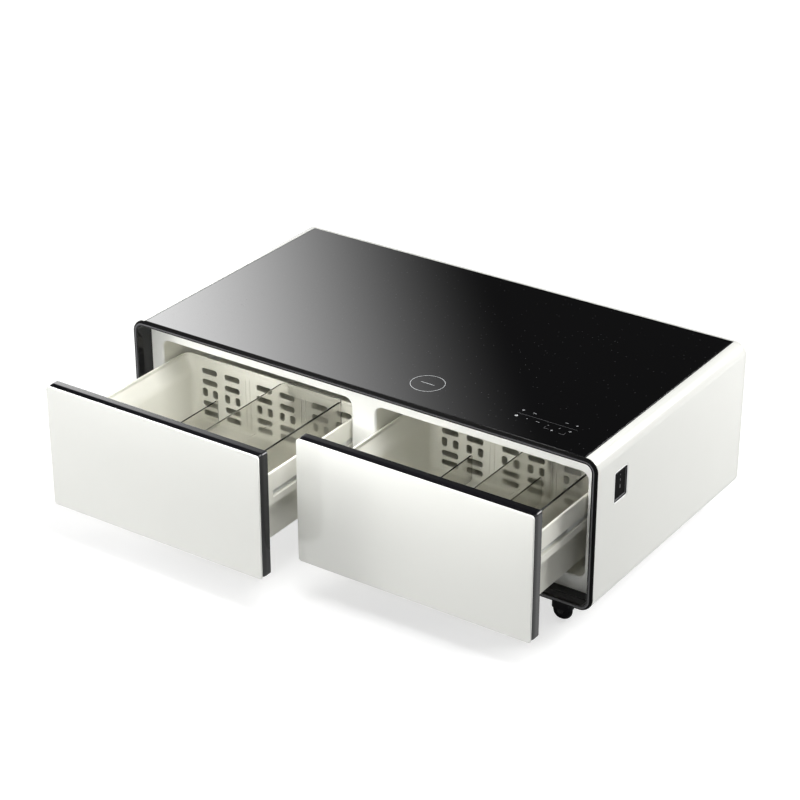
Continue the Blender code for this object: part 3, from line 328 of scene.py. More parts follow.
def handled_group():
    """A roughness that rises in faint streaks and patches where a surface was wiped and touched."""
    inputs = {"Roughness": 0.2, "Variation": 0.03, "Scale": 9.0}
    group, given, result, place = node_group("handled", inputs, ["Roughness"])
    stretch = node(group, "Mapping", {"Vector": place, "Scale": (1.0, 0.35, 1.0)})
    pattern = {"Scale": given["Scale"], "Detail": 5.0, "Roughness": 0.62}
    streaks = node(group, "TexNoise", {"Vector": stretch.outputs["Vector"], **pattern})
    patch = ramp(group, streaks.outputs["Fac"], 0.42, 0.72)
    rise = maths(group, "MULTIPLY", patch, given["Variation"])
    group.links.new(maths(group, "ADD", rise, given["Roughness"]), result["Roughness"])
    return group


def grain_group():
    """The fine pebbled height of a textured mould, with a slower waviness below it."""
    group, given, result, place = node_group("grain", {"Scale": 900.0, "Wave": 0.3}, ["Height"])
    fine = node(group, "TexNoise", {"Vector": place, "Scale": given["Scale"], "Detail": 2.0})
    slow = node(group, "TexNoise", {"Vector": place, "Scale": 14.0, "Detail": 1.0})
    wave = maths(group, "MULTIPLY", slow.outputs["Fac"], given["Wave"])
    group.links.new(maths(group, "ADD", fine.outputs["Fac"], wave), result["Height"])
    return group


def specks_group():
    """Sparse small dots: a cell of a Voronoi pattern holds one only if its own random value is low."""
    inputs = {"Scale": 160.0, "Size": 0.12, "Share": 0.25}
    group, given, result, place = node_group("specks", inputs, ["Mask"])
    cells = node(group, "TexVoronoi", {"Vector": place, "Scale": given["Scale"]})
    dot = maths(group, "LESS_THAN", cells.outputs["Distance"], given["Size"])
    parts = node(group, "SeparateColor", {"Color": cells.outputs["Color"]})
    rare = maths(group, "LESS_THAN", parts.outputs["Red"], given["Share"])
    group.links.new(maths(group, "MULTIPLY", dot, rare), result["Mask"])
    return group


groups = {made.name: made for made in (mottle_group(), handled_group(), grain_group(), specks_group())}
print("node groups:", sorted(groups))

# %% [markdown]
# ## Materials
# One function builds the common finish: colour through the mottle group, roughness through the
# handled group and, where asked, a bump through the grain group. What is the same all over a
# surface, such as metal or transmission, is set on the shader itself.

# %% Finishes
BUMP = 0.35


def use_group(tree, name, **values):
    """Places a node group in a material, with values by socket name."""
    made = tree.nodes.new("ShaderNodeGroup")
    made.node_tree = groups[name]
    for title, value in values.items():
        made.inputs[title].default_value = value
    return made


def finish(name, colour, roughness, mottle=0.02, marks=0.03, grain=0.0, grain_scale=900.0, **sockets):
    """A material whose Principled shader keeps its even values on its own sockets."""
    made = bpy.data.materials.new(name)
    made.use_nodes = True
    tree = made.node_tree
    shader = tree.nodes["Principled BSDF"]
    for title, value in sockets.items():
        shader.inputs[title.replace("_", " ")].default_value = value
    tint = use_group(tree, "mottle", Colour=(*colour, 1), Variation=mottle)
    gloss = use_group(tree, "handled", Roughness=roughness, Variation=marks)
    tree.links.new(tint.outputs["Colour"], shader.inputs["Base Color"])
    tree.links.new(gloss.outputs["Roughness"], shader.inputs["Roughness"])
    if grain:
        pebbles = use_group(tree, "grain", Scale=grain_scale)
        bump = node(tree, "Bump", {"Height": pebbles.outputs["Height"], "Strength": BUMP, "Distance": grain})
        tree.links.new(bump.outputs["Normal"], shader.inputs["Normal"])
    return made


white_glass = finish("white_glass", (0.86, 0.865, 0.82), 0.10, mottle=0.006, marks=0.03, Coat_Weight=0.4)
white_enamel = finish("white_enamel", (0.85, 0.855, 0.81), 0.24, mottle=0.006, marks=0.01, grain=0.00003)
white_moulding = finish("white_moulding", (0.965, 0.97, 0.935), 0.34, mottle=0.01, grain=0.00005)
tub_plastic = finish("tub_plastic", (0.85, 0.843, 0.762), 0.38, mottle=0.02, marks=0.06, grain=0.00006)
liner_plastic = finish("liner_plastic", (0.835, 0.83, 0.745), 0.42, mottle=0.02, marks=0.05, grain=0.00006)
black_gloss = finish(
    "black_gloss", (0.005, 0.005, 0.006), 0.10, mottle=0.05, marks=0.03, Specular_IOR_Level=0.38
)
black_satin = finish(
    "black_satin", (0.007, 0.007, 0.009), 0.34, mottle=0.05, marks=0.06, grain=0.00003, Specular_IOR_Level=0.2
)
black_rubber = finish(
    "black_rubber", (0.005, 0.005, 0.006), 0.70, mottle=0.08, grain=0.00010, Specular_IOR_Level=0.06
)
sealant = finish("sealant", (0.004, 0.004, 0.004), 0.8, mottle=0.05, Specular_IOR_Level=0.05)
seal_rubber = finish("seal_rubber", (0.16, 0.16, 0.165), 0.70, mottle=0.05, grain=0.00008)
rail_steel = finish("rail_steel", (0.66, 0.66, 0.65), 0.30, mottle=0.04, marks=0.12, Metallic=1.0)
slide_steel = finish("slide_steel", (0.82, 0.825, 0.80), 0.50, mottle=0.03, marks=0.10)
fork_steel = finish(
    "fork_steel", (0.007, 0.007, 0.008), 0.45, mottle=0.05, marks=0.08, Specular_IOR_Level=0.1
)
grey_sheet = finish("grey_sheet", (0.42, 0.43, 0.44), 0.44, mottle=0.04, marks=0.10, Metallic=0.5)
fin_metal = finish("fin_metal", (0.70, 0.44, 0.30), 0.34, mottle=0.08, marks=0.15, Metallic=1.0)
foam = finish("foam", (0.74, 0.66, 0.44), 0.92, mottle=0.10, grain=0.0006, grain_scale=260.0)
# A dark grey that paints the highlight line round the black surround.
painted_highlight_grey = finish("painted_highlight_grey", (0.065, 0.065, 0.07), 0.34, mottle=0.04)
# A white above the shell's, which paints the highlight on the socket hole's rounded edge.
painted_highlight_white = finish("painted_highlight_white", (0.97, 0.97, 0.96), 0.30, mottle=0.0, marks=0.0)
circuit = finish("circuit", (0.03, 0.16, 0.07), 0.50, mottle=0.20, marks=0.15)
mark_print = finish("mark_print", (0.50, 0.51, 0.52), 0.40, mottle=0.04)
faint_print = finish("faint_print", (0.13, 0.13, 0.135), 0.40, mottle=0.04)
bright_print = finish("bright_print", (0.88, 0.89, 0.90), 0.40, mottle=0.03)
print(len(bpy.data.materials), "materials so far")

# %% [markdown]
# ### Clear smoked plastic and the glass top
# The baskets are clear plastic with a brown-grey tint, so the shader transmits and its base colour
# is the tint of one wall. The top is glass painted black on its back: black below, a mirror above,
# with sparse specks in it that are lighter and less smooth than the glass around them.

# %% Smoked plastic and glass
smoked = finish(
    "smoked_clear", (0.80, 0.795, 0.765), 0.06, mottle=0.02, marks=0.04, Transmission_Weight=1.0, IOR=1.45
)


def top_glass():
    """Black glass: the specks' mask mixes their grey into the colour and lifts the roughness.

    A Mix node has its number sockets at 0, 2 and 3 and its colour sockets at 0, 6 and 7.
    """
    made = finish("top_glass", (0.0012, 0.0012, 0.0015), 0.035, mottle=0.02, marks=0.02, IOR=1.52)
    tree = made.node_tree
    shader = tree.nodes["Principled BSDF"]
    dots = use_group(tree, "specks", Scale=110.0, Size=0.115, Share=0.25)
    for title, speck in (("Base Color", (0.055, 0.055, 0.058, 1)), ("Roughness", 0.24)):
        source = shader.inputs[title].links[0].from_socket
        colour = title == "Base Color"
        mix = tree.nodes.new("ShaderNodeMix")
        mix.data_type = "RGBA" if colour else "FLOAT"
        factor, first, second = (mix.inputs[i] for i in ((0, 6, 7) if colour else (0, 2, 3)))
        second.default_value = speck
        tree.links.new(dots.outputs["Mask"], factor)
        tree.links.new(source, first)
        tree.links.new(mix.outputs[2 if colour else 0], shader.inputs[title])
    return made


top_black = top_glass()
print("glass and smoked plastic ready")

# %% [markdown]
# ## The cabinet's shell
# The shell is one white wrap round the sides and the underside, open to the front and the back,
# with a deck under the glass. Its long edges have a radius of 31 mm. It is built as a solid rod of
# that section, and the hollow, the bed of the glass and the hole of the socket are cut out of it.

# %% Shell
socket_low, socket_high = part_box("power_socket")
shell_low, shell_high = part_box("outer_shell")
glass_low, glass_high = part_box("glass_top")
DECK = (0.4401, 0.4426)
OVER = 0.02

rod = [(-0.001, shell_low.y), (0, shell_low.y), (0, shell_high.y), (-0.001, shell_high.y)]
shell = add("shell", round_cabinet(eased(rod, 0.0008)))
inner = ((-HALF + SHELL, BASE + SHELL), (HALF - SHELL, DECK[0]))
run = [(0, shell_low.y - OVER), (0, BACK + OVER)]
hollow = add("hollow", skin(carried(*inner, EDGE - SHELL, run, "Y", BODY_STEPS)))
bed_low = (glass_low.x - FIT, shell_low.y - OVER, DECK[1])
bed = add("bed", block(bed_low, (glass_high.x + FIT, BACK + OVER, TOP + OVER)))
print("deck lies at", DECK[1], "m")

# %% Hole for the socket
TRIM, HOLE_ROUND, CHAMFER = 0.0030, 0.0058, 0.0004
socket_plan = np.array([(socket_low.y, socket_low.z), (socket_high.y, socket_high.z)])
flare = [(0, HALF - 2 * SHELL), (0, HALF - CHAMFER), (CHAMFER, HALF), (CHAMFER, HALF + OVER)]
flare = eased(flare, CHAMFER / 2)
hole = carried(socket_plan[0] - TRIM, socket_plan[1] + TRIM, HOLE_ROUND, flare, "X")
carve(shell, hollow, bed, add("socket_hole", skin(hole)))
dress(shell, white_enamel, "cabinet", "outer_shell")
print("shell:", len(shell.data.polygons), "faces")

# %% [markdown]
# ## The black surround
# A black frame closes the front of the shell and runs 55 mm into the recess as a sleeve. Its outer
# edge is a rounded dull bead, its inner edge is glossy, and a satin grey line, a painted highlight,
# is let in between them all the way round. The floor of the sleeve has a shallow tray just behind the front
# edge.

# %% Surround
ring_back = FRONT + 0.008
sleeve_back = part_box("front_bezel")[1].y
around = np.linspace(0, np.pi / 2, 9)
CROWN, CROWN_DEPTH = 0.0042, 0.0076
HIGHLIGHT_BAND, HIGHLIGHT_BAND_DEPTH, GAP = (-0.0051, -0.0089), 0.0008, 0.0001
crown = [(-CROWN * (1 - math.cos(t)), FRONT + CROWN_DEPTH * (1 - math.sin(t))) for t in around]
section = [
    (-CROWN - GAP, ring_back),
    (-CROWN - GAP, FRONT + 0.0007),
    (-CROWN - 0.0008, FRONT),
    (HIGHLIGHT_BAND[0], FRONT),
    (HIGHLIGHT_BAND[0], FRONT + HIGHLIGHT_BAND_DEPTH),
    (HIGHLIGHT_BAND[1], FRONT + HIGHLIGHT_BAND_DEPTH),
    (HIGHLIGHT_BAND[1], FRONT + 0.0001),
    (-FACE, FRONT + 0.0003),
    (-FACE, sleeve_back),
    (-SHELL - FIT, sleeve_back),
    (-SHELL - FIT, ring_back),
]
soft = (0, 0.0002, 0.0003, 0.0002, 0.0001, 0.0001, 0.0003, 0.0022, 0.0004, 0, 0)
surround = add("surround", round_cabinet(eased(section, soft, True, 5), True))

# %% Tray in the sleeve's floor
TRAY_MARGIN, TRAY_DEPTH, TRAY_ROUND = 0.010, 0.0012, 0.009
tray_low = (-HALF + FACE + TRAY_MARGIN, FRONT + 0.0065)
tray_high = (HALF - FACE - TRAY_MARGIN, FRONT + 0.030)
floor = BASE + FACE
sides = [(-TRAY_DEPTH, floor - TRAY_DEPTH), (0, floor), (0.001, floor + 0.001)]
carve(surround, add("tray", skin(carried(tray_low, tray_high, TRAY_ROUND, sides, "Z"))))
dress(surround, black_gloss, "cabinet", "front_bezel")

# %% Dull edge and painted highlight line
rounded = [(0, ring_back), *crown, (-CROWN, ring_back)]
dull_edge = add("surround_edge", round_cabinet(rounded, True))
dress(dull_edge, sealant, "cabinet", slot="front_bezel")
# The grey line is a painted highlight: a lighter ring let into the surround's face, where its rounded edge
# would catch light.
highlight_band = [
    (HIGHLIGHT_BAND[0] - GAP, FRONT + 0.0007),
    (HIGHLIGHT_BAND[0] - GAP, FRONT + 0.0002),
    (sum(HIGHLIGHT_BAND) / 2, FRONT),
    (HIGHLIGHT_BAND[1] + GAP, FRONT + 0.0003),
    (HIGHLIGHT_BAND[1] + GAP, FRONT + 0.0007),
]
highlight_line = add("surround_highlight_line", round_cabinet(eased(highlight_band, (0, 0.0002, 0.0012, 0.0002, 0), True, 5), True))
dress(highlight_line, painted_highlight_grey, "cabinet", slot="front_bezel")
print("surround:", len(surround.data.polygons), "faces")

# %% [markdown]
# ## The white face panel and the cold cavities
# Behind the drawer fronts stands a white panel with one opening for each drawer. The edges of
# the openings turn inwards in a soft curve. Each cavity behind is a deep moulded liner, round in
# its corners and along its rear edges, so that it wipes clean.

# %% Panel and liners
plate = [(-FACE / 2 - FIT, panel_low.y), (-FACE / 2 - FIT, panel_high.y)]
face_panel = add("face_panel", round_cabinet(plate))
THROAT = ((-0.2868, 0.1125), (0.2814, 0.3825))
CURL = 0.0030
curl = [(0.008, panel_low.y - OVER), (CURL, panel_low.y), (0, panel_low.y + CURL), (0, panel_high.y + OVER)]
curl = eased(curl, 0.0017)
mouths = []
for side in (-1, 1):
    mouth = (np.array(corner) + (side * MIDDLE, 0) for corner in THROAT)
    mouths.append(add("mouth", skin(carried(*mouth, OPENING_ROUND, curl))))
carve(face_panel, *mouths)
dress(face_panel, white_moulding, "cabinet", "front_panel")

for hand in ("left", "right"):
    low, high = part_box(hand + "_liner")
    inside = high.y - LINER
    wall = [(-0.030, inside), (0, inside), (0, low.y), (LINER, low.y), (LINER, high.y), (-0.010, high.y)]
    wall = eased(wall, (0, 0.012, 0, 0, 0, 0), steps=6)
    plan = ((low.x + LINER, low.z + LINER), (high.x - LINER, high.z - LINER))
    cavity = add(hand + "_cavity", skin(carried(*plan, OPENING_ROUND, wall)))
    dress(cavity, liner_plastic, "cabinet", hand + "_liner")
print("panel:", len(face_panel.data.polygons), "faces")

# %% [markdown]
# ## The glass top and its marks
# The top is one pane, flush with the shell, with finely ground edges. The marks on it are printed
# enamel: a round target where a telephone charges, and a strip of touch keys beside it. They are
# thin plates here, a tenth of a millimetre high, so that they stay crisp at any size.

# %% Glass pane
MARK, SEAM, GLASS_ROUND = 0.0001, 0.0024, 0.0022
pane = [(-0.002, glass_low.z), (0, glass_low.z), (0, TOP - MARK), (-0.002, TOP - MARK)]
pane = eased(pane, (0, 0.0006, 0.0008, 0))
inset = np.array([SEAM, SEAM / 2])
plan = (np.array(glass_low[:2]) + inset, np.array(glass_high[:2]) - inset)
glass = add("glass_pane", skin(carried(*plan, GLASS_ROUND, pane, "Z", 4)))
dress(glass, top_black, "cabinet", "glass_top")
dress_node("glass_seal", black_rubber, 0.0001)
within, outside = 0.0002, SEAM - 0.0001
seam = [(within, glass_low.z), (outside, glass_low.z), (outside, TOP - 0.0008), (within, TOP - 0.0011)]
bead = add("glass_bead", skin(carried(*plan, GLASS_ROUND, seam, "Z", 4), True))
dress(bead, sealant, "cabinet", slot="glass_seal")
print("glass:", len(glass.data.polygons), "faces")


# %% Printed marks
def mark(low, high, radius):
    """A thin plate with round corners, flat on the glass."""
    return skin(carried(low, high, radius, [(0, TOP - MARK), (0, TOP)], "Z", 5))


def hoop(centre, radius, width, steps=12):
    """A flat ring of some width about a centre on the glass."""
    section = rectangle((radius - width / 2, TOP - MARK), (radius + width / 2, TOP))
    return skin(turned(centre, section, "Z", steps), True)


def bar(centre, length, width, angle=0.0):
    """A thin straight bar about a centre on the glass, turned by an angle."""
    half = np.array([length, width]) / 2
    points, faces = mark(-half, half, width / 2.2)
    cosine, sine = math.cos(angle), math.sin(angle)
    turn = np.array([[cosine, sine, 0], [-sine, cosine, 0], [0, 0, 1]])
    return points @ turn + np.array([*centre, 0]), faces


charge = (0.138, FRONT + 0.113)
target = add("charge_mark", hoop(charge, 0.0405, 0.0010, 24), bar(charge, 0.036, 0.0011))
dress(target, mark_print, "cabinet", slot="glass_top")
print("charging mark at", [round(float(v), 3) for v in charge])

# %% Touch keys
KINDS = {
    "ring": (0.0022, (90,)),
    "dash": (0.0085, (0,)),
    "star": (0.0056, (30, 90, 150)),
    "dot": (0.0028, (45, 135)),
}
upper, lower = FRONT + 0.1235, FRONT + 0.092
keys = []
for x, y, kind in (
    (0.390, upper, "ring"),
    (0.419, upper, "dash"),
    (0.503, upper, "dash"),
    (0.529, upper, "star"),
    (0.418, lower, "dot"),
    (0.4455, lower, "dash"),
    (0.473, lower, "dot"),
    (0.502, lower, "dot"),
    (0.529, lower, "ring"),
    (0.492, FRONT + 0.0745, "star"),
):
    length, angles = KINDS[kind]
    keys += [bar((x, y), length, 0.0007, math.radians(a)) for a in angles]
    if kind == "ring":
        keys.append(hoop((x, y), 0.0025, 0.0006))
touch_keys = dress(add("touch_marks", *keys), mark_print, "cabinet", slot="glass_top")

# %% Touch lines
STRIP, STRIP_HALF = FRONT + 0.106, 0.00022
lines = [mark((0.384, STRIP - STRIP_HALF), (0.541, STRIP + STRIP_HALF), 0.0002)]
for x, y, length, angle in (
    (0.471, FRONT + 0.0800, 0.0090, 90),
    (0.477, FRONT + 0.0755, 0.0120, 0),
    (0.517, FRONT + 0.0715, 0.0130, 0),
    (0.5235, FRONT + 0.0765, 0.0100, 90),
):
    lines.append(bar((x, y), length, 0.0006, math.radians(angle)))
dress(add("touch_lines", *lines), faint_print, "cabinet", slot="glass_top")
power = [hoop((0.390, lower), 0.0028, 0.0010), bar((0.390, lower + 0.0024), 0.0034, 0.0011, math.pi / 2)]
dress(add("power_mark", *power), bright_print, "cabinet", slot="glass_top")
print("marks:", len(touch_keys.data.polygons), "faces")

# %% [markdown]
# ## The rear panel
# The machinery breathes through two fields of slots in the rear panel. Each slot has round ends
# and a small chamfer. The panel is held by countersunk screws along its edge. A screw's cross is
# cut as two sets of thin boxes, one after the other, so that no tool crosses itself.

# %% Rear panel
sheet = [(-0.001, rear_low.y), (0, rear_low.y), (0, rear_high.y), (-0.001, rear_high.y)]
rear = add("rear_cover", round_cabinet(eased(sheet, (0, 0.0004, 0.0008, 0))))
SLOT_EDGE = 0.0007
through = [
    (SLOT_EDGE, rear_high.y + OVER),
    (SLOT_EDGE, rear_high.y),
    (0, rear_high.y - SLOT_EDGE),
    (0, rear_low.y - OVER),
]
VENT = (0.090, 0.005)
VENT_FIELD, VENT_COLUMN, VENT_PITCH, VENT_ROWS, VENT_FIRST = 0.39928, 0.0525, 0.014, 8, 0.120
slots = []
for side in (-1, 1):
    for column in (-1, 1):
        for row in range(VENT_ROWS):
            middle = np.array([side * VENT_FIELD + column * VENT_COLUMN, VENT_FIRST + row * VENT_PITCH])
            half = np.array(VENT) / 2
            slots.append(skin(carried(middle - half, middle + half, VENT[1] / 2 - SHARP, through, "Y", 5)))
inlet_low, inlet_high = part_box("power_inlet")
inlet_plan = [(corner.x, corner.z) for corner in (inlet_low, inlet_high)]
slots.append(skin(carried(*inlet_plan, SHARP, [(FIT, y) for _, y in through])))
SCREW, SCREW_MARGIN = 0.0034, 0.016
screw_rows = (BASE + SCREW_MARGIN, TOP - SCREW_MARGIN)
screw_places = [(x, z) for x in (-0.56, -0.19, 0.19, 0.56) for z in screw_rows]
screw_places += [(x, 0.257) for x in (-HALF + SCREW_MARGIN, HALF - SCREW_MARGIN)]
seat_base = rear_high.y - 0.0016
seat = [(SCREW + 0.0012, rear_high.y + 0.001), (SCREW, seat_base), (0.0005, seat_base)]
slots += [skin(turned(place, seat, "Y", 5)) for place in screw_places]
carve(rear, add("slots", *slots))
dress(rear, white_enamel, "cabinet", "rear_panel")


# %% Screws
def screw_head(place):
    """A screw's head: a turned profile with a straight rim and a slope up to a flat middle."""
    tall = 0.0014
    rim, flat = seat_base + tall * 0.5, seat_base + tall
    profile = [(SCREW, seat_base), (SCREW, rim), (SCREW * 0.55, flat), (0.0004, flat)]
    return skin(turned(place, profile, "Y", 5))


LONG, THIN = 0.0019, 0.0004
heads = add("rear_screws", *[screw_head(place) for place in screw_places])
crosses = []
for x, z in screw_places:
    for across, up in ((LONG, THIN), (THIN, LONG)):
        low = (x - across, rear_high.y - 0.0012, z - up)
        crosses.append(block(low, (x + across, rear_high.y + 0.001, z + up)))
for half in (crosses[::2], crosses[1::2]):
    carve(heads, add("cross", *half))
dress(heads, rail_steel, "cabinet", slot="rear_panel")
print("rear:", len(rear.data.polygons), "faces, slots", len(slots))

# %% [markdown]
# ## The socket in the side
# A narrow trim runs round its well, whiter than the shell: the extra white is a painted highlight of the
# hole's rounded edge.

# %% Socket
face, deep = socket_high.x, socket_low.x
INSET, SUNK, SLOPE, SOCKET_ROUND = 0.0034, 0.0022, 0.0014, 0.004
well = [
    (-0.001, deep),
    (0, deep),
    (0, face),
    (-INSET, face),
    (-INSET - SLOPE, face - SUNK),
    (-0.012, face - SUNK),
]
well = eased(well, (0, 0, 0.0005, 0.0005, 0.0003, 0))
outlet = add("outlet", skin(carried(*socket_plan, SOCKET_ROUND, well, "X")))
centre = socket_plan.sum(axis=0) / 2
tall = socket_high.z - socket_low.z
pins, contacts = [], []
for share, wide, high in ((0.30, 0.0036, 0.0036), (0.12, 0.0032, 0.0080), (-0.10, 0.0042, 0.0110)):
    middle, half = centre + (0.002, share * tall), np.array([wide, high]) / 2
    hole = [(0.0004, face), (0.0004, face - SUNK), (0, face - SUNK - 0.0004), (0, face - 0.0155)]
    pins.append(skin(carried(middle - half, middle + half, 0.45 * wide, hole, "X", 4)))
    tip = [(-0.0002, face - 0.0150), (-0.0002, face - SUNK - 0.0008), (-0.0006, face - SUNK - 0.0004)]
    contacts.append(skin(carried(middle - half, middle + half, 0.45 * wide, tip, "X", 4)))
carve(outlet, add("pins", *pins))
dress(outlet, sealant, "cabinet", "power_socket")
dress(add("outlet_contacts", *contacts), seal_rubber, "cabinet", slot="power_socket")
# A thin grey ribbon on the well's slope is a painted highlight of its inner rim. It takes the gaskets' grey.
slant = np.array([-SLOPE, -SUNK])
rise = np.array([-SUNK, SLOPE]) * 0.0002 / math.hypot(SLOPE, SUNK)
highlight_ribbon = [np.array([-INSET, face]) + slant * t + rise * s for t, s in rectangle((0.15, -1), (0.9, 1))]
outlet_highlight_line = add("outlet_highlight_line", skin(carried(*socket_plan, SOCKET_ROUND, highlight_ribbon, "X"), True))
dress(outlet_highlight_line, seal_rubber, "cabinet", slot="power_socket")
# The trim's whiter colour is a painted highlight of the hole's rounded edge.
trim = eased(rectangle((GAP, HALF - SHELL), (TRIM - GAP, HALF)), (0, 0, 0.0007, 0.0004), True, 4)
outlet_highlight_trim = add("outlet_highlight_trim", skin(carried(*socket_plan, SOCKET_ROUND, trim, "X"), True))
dress(outlet_highlight_trim, painted_highlight_white, "cabinet", slot="power_socket")
print("socket:", len(outlet.data.polygons), "faces")

# %% [markdown]
# ## Castors
# Four swivel castors carry the cabinet. Each wheel is a turned shape: a crowned rubber tyre with one
# fine groove round a hard hub, whose face is dished on both sides. A dark hood stands round the upper
# half of the wheel, held on the heads of the axle, so it turns with the fork.

# %% Castor wheels
HOOD_BASE, HOOD_TOP, HOOD_WALL, HOOD_ROUND = 0.0305, 0.0500, 0.0012, 0.0115
HOOD_AIR = Vector((0.0007, 0.0050, 0))
TYRE_INNER, GROOVE = 0.0182, 0.0007
TYRE_SOFT = [0.0003, 0.0006, 0.0030, 0.0034, 0.0002, 0.0002]
for corner in ("front_left", "front_right", "rear_left", "rear_right"):
    low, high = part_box(corner + "_castor_wheel")
    axle = ((low.x + high.x) / 2, (low.z + high.z) / 2)
    middle, half = (low.y + high.y) / 2, (high.y - low.y) / 2
    size = (high.x - low.x) / 2
    wheel, wheel_node = corner + "_wheel", corner + "_castor_wheel"
    side = [
        (TYRE_INNER, half - 0.0012),
        (0.0195, half),
        (size - 0.0085, half),
        (size - 0.0012, half - 0.0050),
        (size, 0.0010),
        (size - GROOVE, 0.0006),
    ]
    outline = [(r, middle - y) for r, y in side] + [(r, middle + y) for r, y in side[::-1]]
    outline = eased(outline, TYRE_SOFT + TYRE_SOFT[::-1], True, 4)
    tyre = add(corner + "_tyre", skin(turned(axle, outline, "Y", 13), True))
    dress(tyre, black_rubber, wheel, slot=wheel_node)
    dish = [
        (0.0034, half),
        (0.0066, half),
        (0.0080, half - 0.0026),
        (0.0160, half - 0.0022),
        (0.0172, half - 0.0006),
        (TYRE_INNER, half - 0.0010),
    ]
    outline = [(r, middle - y) for r, y in dish] + [(r, middle + y) for r, y in dish[::-1]]
    hub = add(corner + "_hub", skin(turned(axle, eased(outline, 0.0003, True, 2), "Y", 11), True))
    dress(hub, black_rubber, wheel, wheel_node)
    plan = ((low - HOOD_AIR)[:2], (high + HOOD_AIR)[:2])
    wall = [(0, HOOD_TOP), (0, HOOD_BASE), (-HOOD_WALL, HOOD_BASE), (-HOOD_WALL, HOOD_TOP)]
    wall = eased(wall, 0.0004, True, 3)
    hood = add(corner + "_hood", skin(carried(*plan, HOOD_ROUND, wall, "Z", 6), True))
    dress(hood, black_rubber, corner + "_fork", slot=corner + "_castor_fork")
    dress_node(corner + "_castor_fork", fork_steel, 0.0005)
    dress_node(corner + "_castor_mount", rail_steel)
print("castors ready")

# %% [markdown]
# ## Drawer fronts
# A drawer front is a sandwich: a white glass pane, a black frame behind it, and an insulated core
# whose plug fits the opening. A fine groove parts the pane from the frame, whose long edges are
# crowned, so its reflection darkens towards the pane. The frame's corners are tighter than the
# pane's, so they show behind it. The gasket is a pleated rubber bead carried round the opening.

# %% Panes and frames
PANE_ROUND, FRAME_ROUND, FRAME_WALL = 0.0085, 0.0062, 0.0085
FRAME_SOFT = (0.0002, 0.0002, 0.0002, 0.0050, 0.0008, 0.0004, 0.0002)


def front_pane(low, high):
    """The white pane: a plate whose front edge is rounded and whose back edge is just broken."""
    pane = [(-0.004, low.y), (0, low.y), (0, high.y), (-0.001, high.y)]
    pane = eased(pane, (0, 0.0016, 0.0003, 0), steps=6)
    return skin(carried((low.x, low.z), (high.x, high.z), PANE_ROUND, pane))


def front_frame(low, high):
    """The black frame: a section with a groove at the pane and a crown, carried round the front."""
    section = [
        (-0.0032, low.y),
        (-0.0032, low.y + 0.0016),
        (-0.0028, low.y + 0.0018),
        (0, low.y + 0.0118),
        (0, high.y),
        (-FRAME_WALL, high.y),
        (-FRAME_WALL, low.y),
    ]
    plan = ((low.x, low.z), (high.x, high.z))
    return skin(carried(*plan, FRAME_ROUND, eased(section, FRAME_SOFT, True, 8), "Y", 6), True)


print("frame wall:", FRAME_WALL)


# %% Gasket of a front
def gasket(low, high, centre):
    """The magnetic seal: a pleated section between the two ends of y, carried round the opening."""
    opening = ((centre - OPENING_HALF, OPENING[0]), (centre + OPENING_HALF, OPENING[1]))
    y0, y1 = low.y, high.y
    pleat = [
        (0.0015, y0),
        (0.0115, y0),
        (0.0115, y0 + 0.0016),
        (0.0098, y0 + 0.0032),
        (0.0112, y0 + 0.0050),
        (0.0105, y1 - 0.0004),
        (0.0095, y1),
        (0.0040, y1),
        (0.0028, y1 - 0.0006),
        (0.0018, y0 + 0.0050),
        (0.0032, y0 + 0.0032),
        (0.0015, y0 + 0.0016),
    ]
    return skin(carried(*opening, OPENING_ROUND, eased(pleat, 0.0004, True, 3)), True)


print("gaskets lie", round(MIDDLE, 4), "m from the middle")

# %% Fronts
for hand, side in (("left", -1), ("right", 1)):
    drawer = hand + "_drawer"
    pane = add(hand + "_pane", front_pane(*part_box(hand + "_front_glass")))
    dress(pane, white_glass, drawer, hand + "_front_glass")
    rim = add(hand + "_rim", front_frame(*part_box(hand + "_front_frame")))
    dress(rim, black_gloss, drawer, hand + "_front_frame")
    seal = add(hand + "_seal", gasket(*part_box(hand + "_gasket"), side * MIDDLE))
    dress(seal, seal_rubber, drawer, hand + "_gasket")
    dress_node(hand + "_front_core", white_moulding, 0.0012)
print("fronts ready")

# %% [markdown]
# ## Tubs
# Each tub is one deep moulding. Outside it has an upper band, a channel for the slides, a lip and
# a narrower lower part. Inside, its side walls lean out towards the rim. Its rear wall is full of
# air slots that let the cold air through, and two pairs of ribs stiffen it. The body and its hollow
# are stacks of rings, and the one is cut from the other. The edges are bevelled, and only then are
# the slots cut, with a chamfer of their own that shows as a light rim.

# %% Tub sizes
TUB_LOWER, TUB_CHANNEL, TUB_INNER, TUB_UPPER = 0.257, 0.259, 0.253, 0.2735
TUB_WALL, TUB_FLOOR, LEAN_BASE = 0.004, 0.146, 0.285
LIP, CHANNEL = 0.243, (0.2600, 0.2778)
TUB_BLOCK = 0.0367
TUB_BEAD = 0.0018
REAR_ROUND, REAR_INNER_ROUND, FRONT_ROUND = 0.022, 0.018, 0.004
SLOT_PAIRS, SLOT_HALF_PITCH, SHORT_HALF_PITCH = (-0.668, 0.0, 0.668), 0.035, 0.016
SLOT_ROWS, SHORT_ROW = (0.779, 0.609, 0.274, 0.134), 0.447
SLOT, SHORT_SLOT, SLOT_BEAD = (0.0470, 0.0165), (0.0165, 0.0240), 0.0012
RIBS, RIB_HALF = (-0.0915, -0.0785, 0.0785, 0.0915), 0.0012


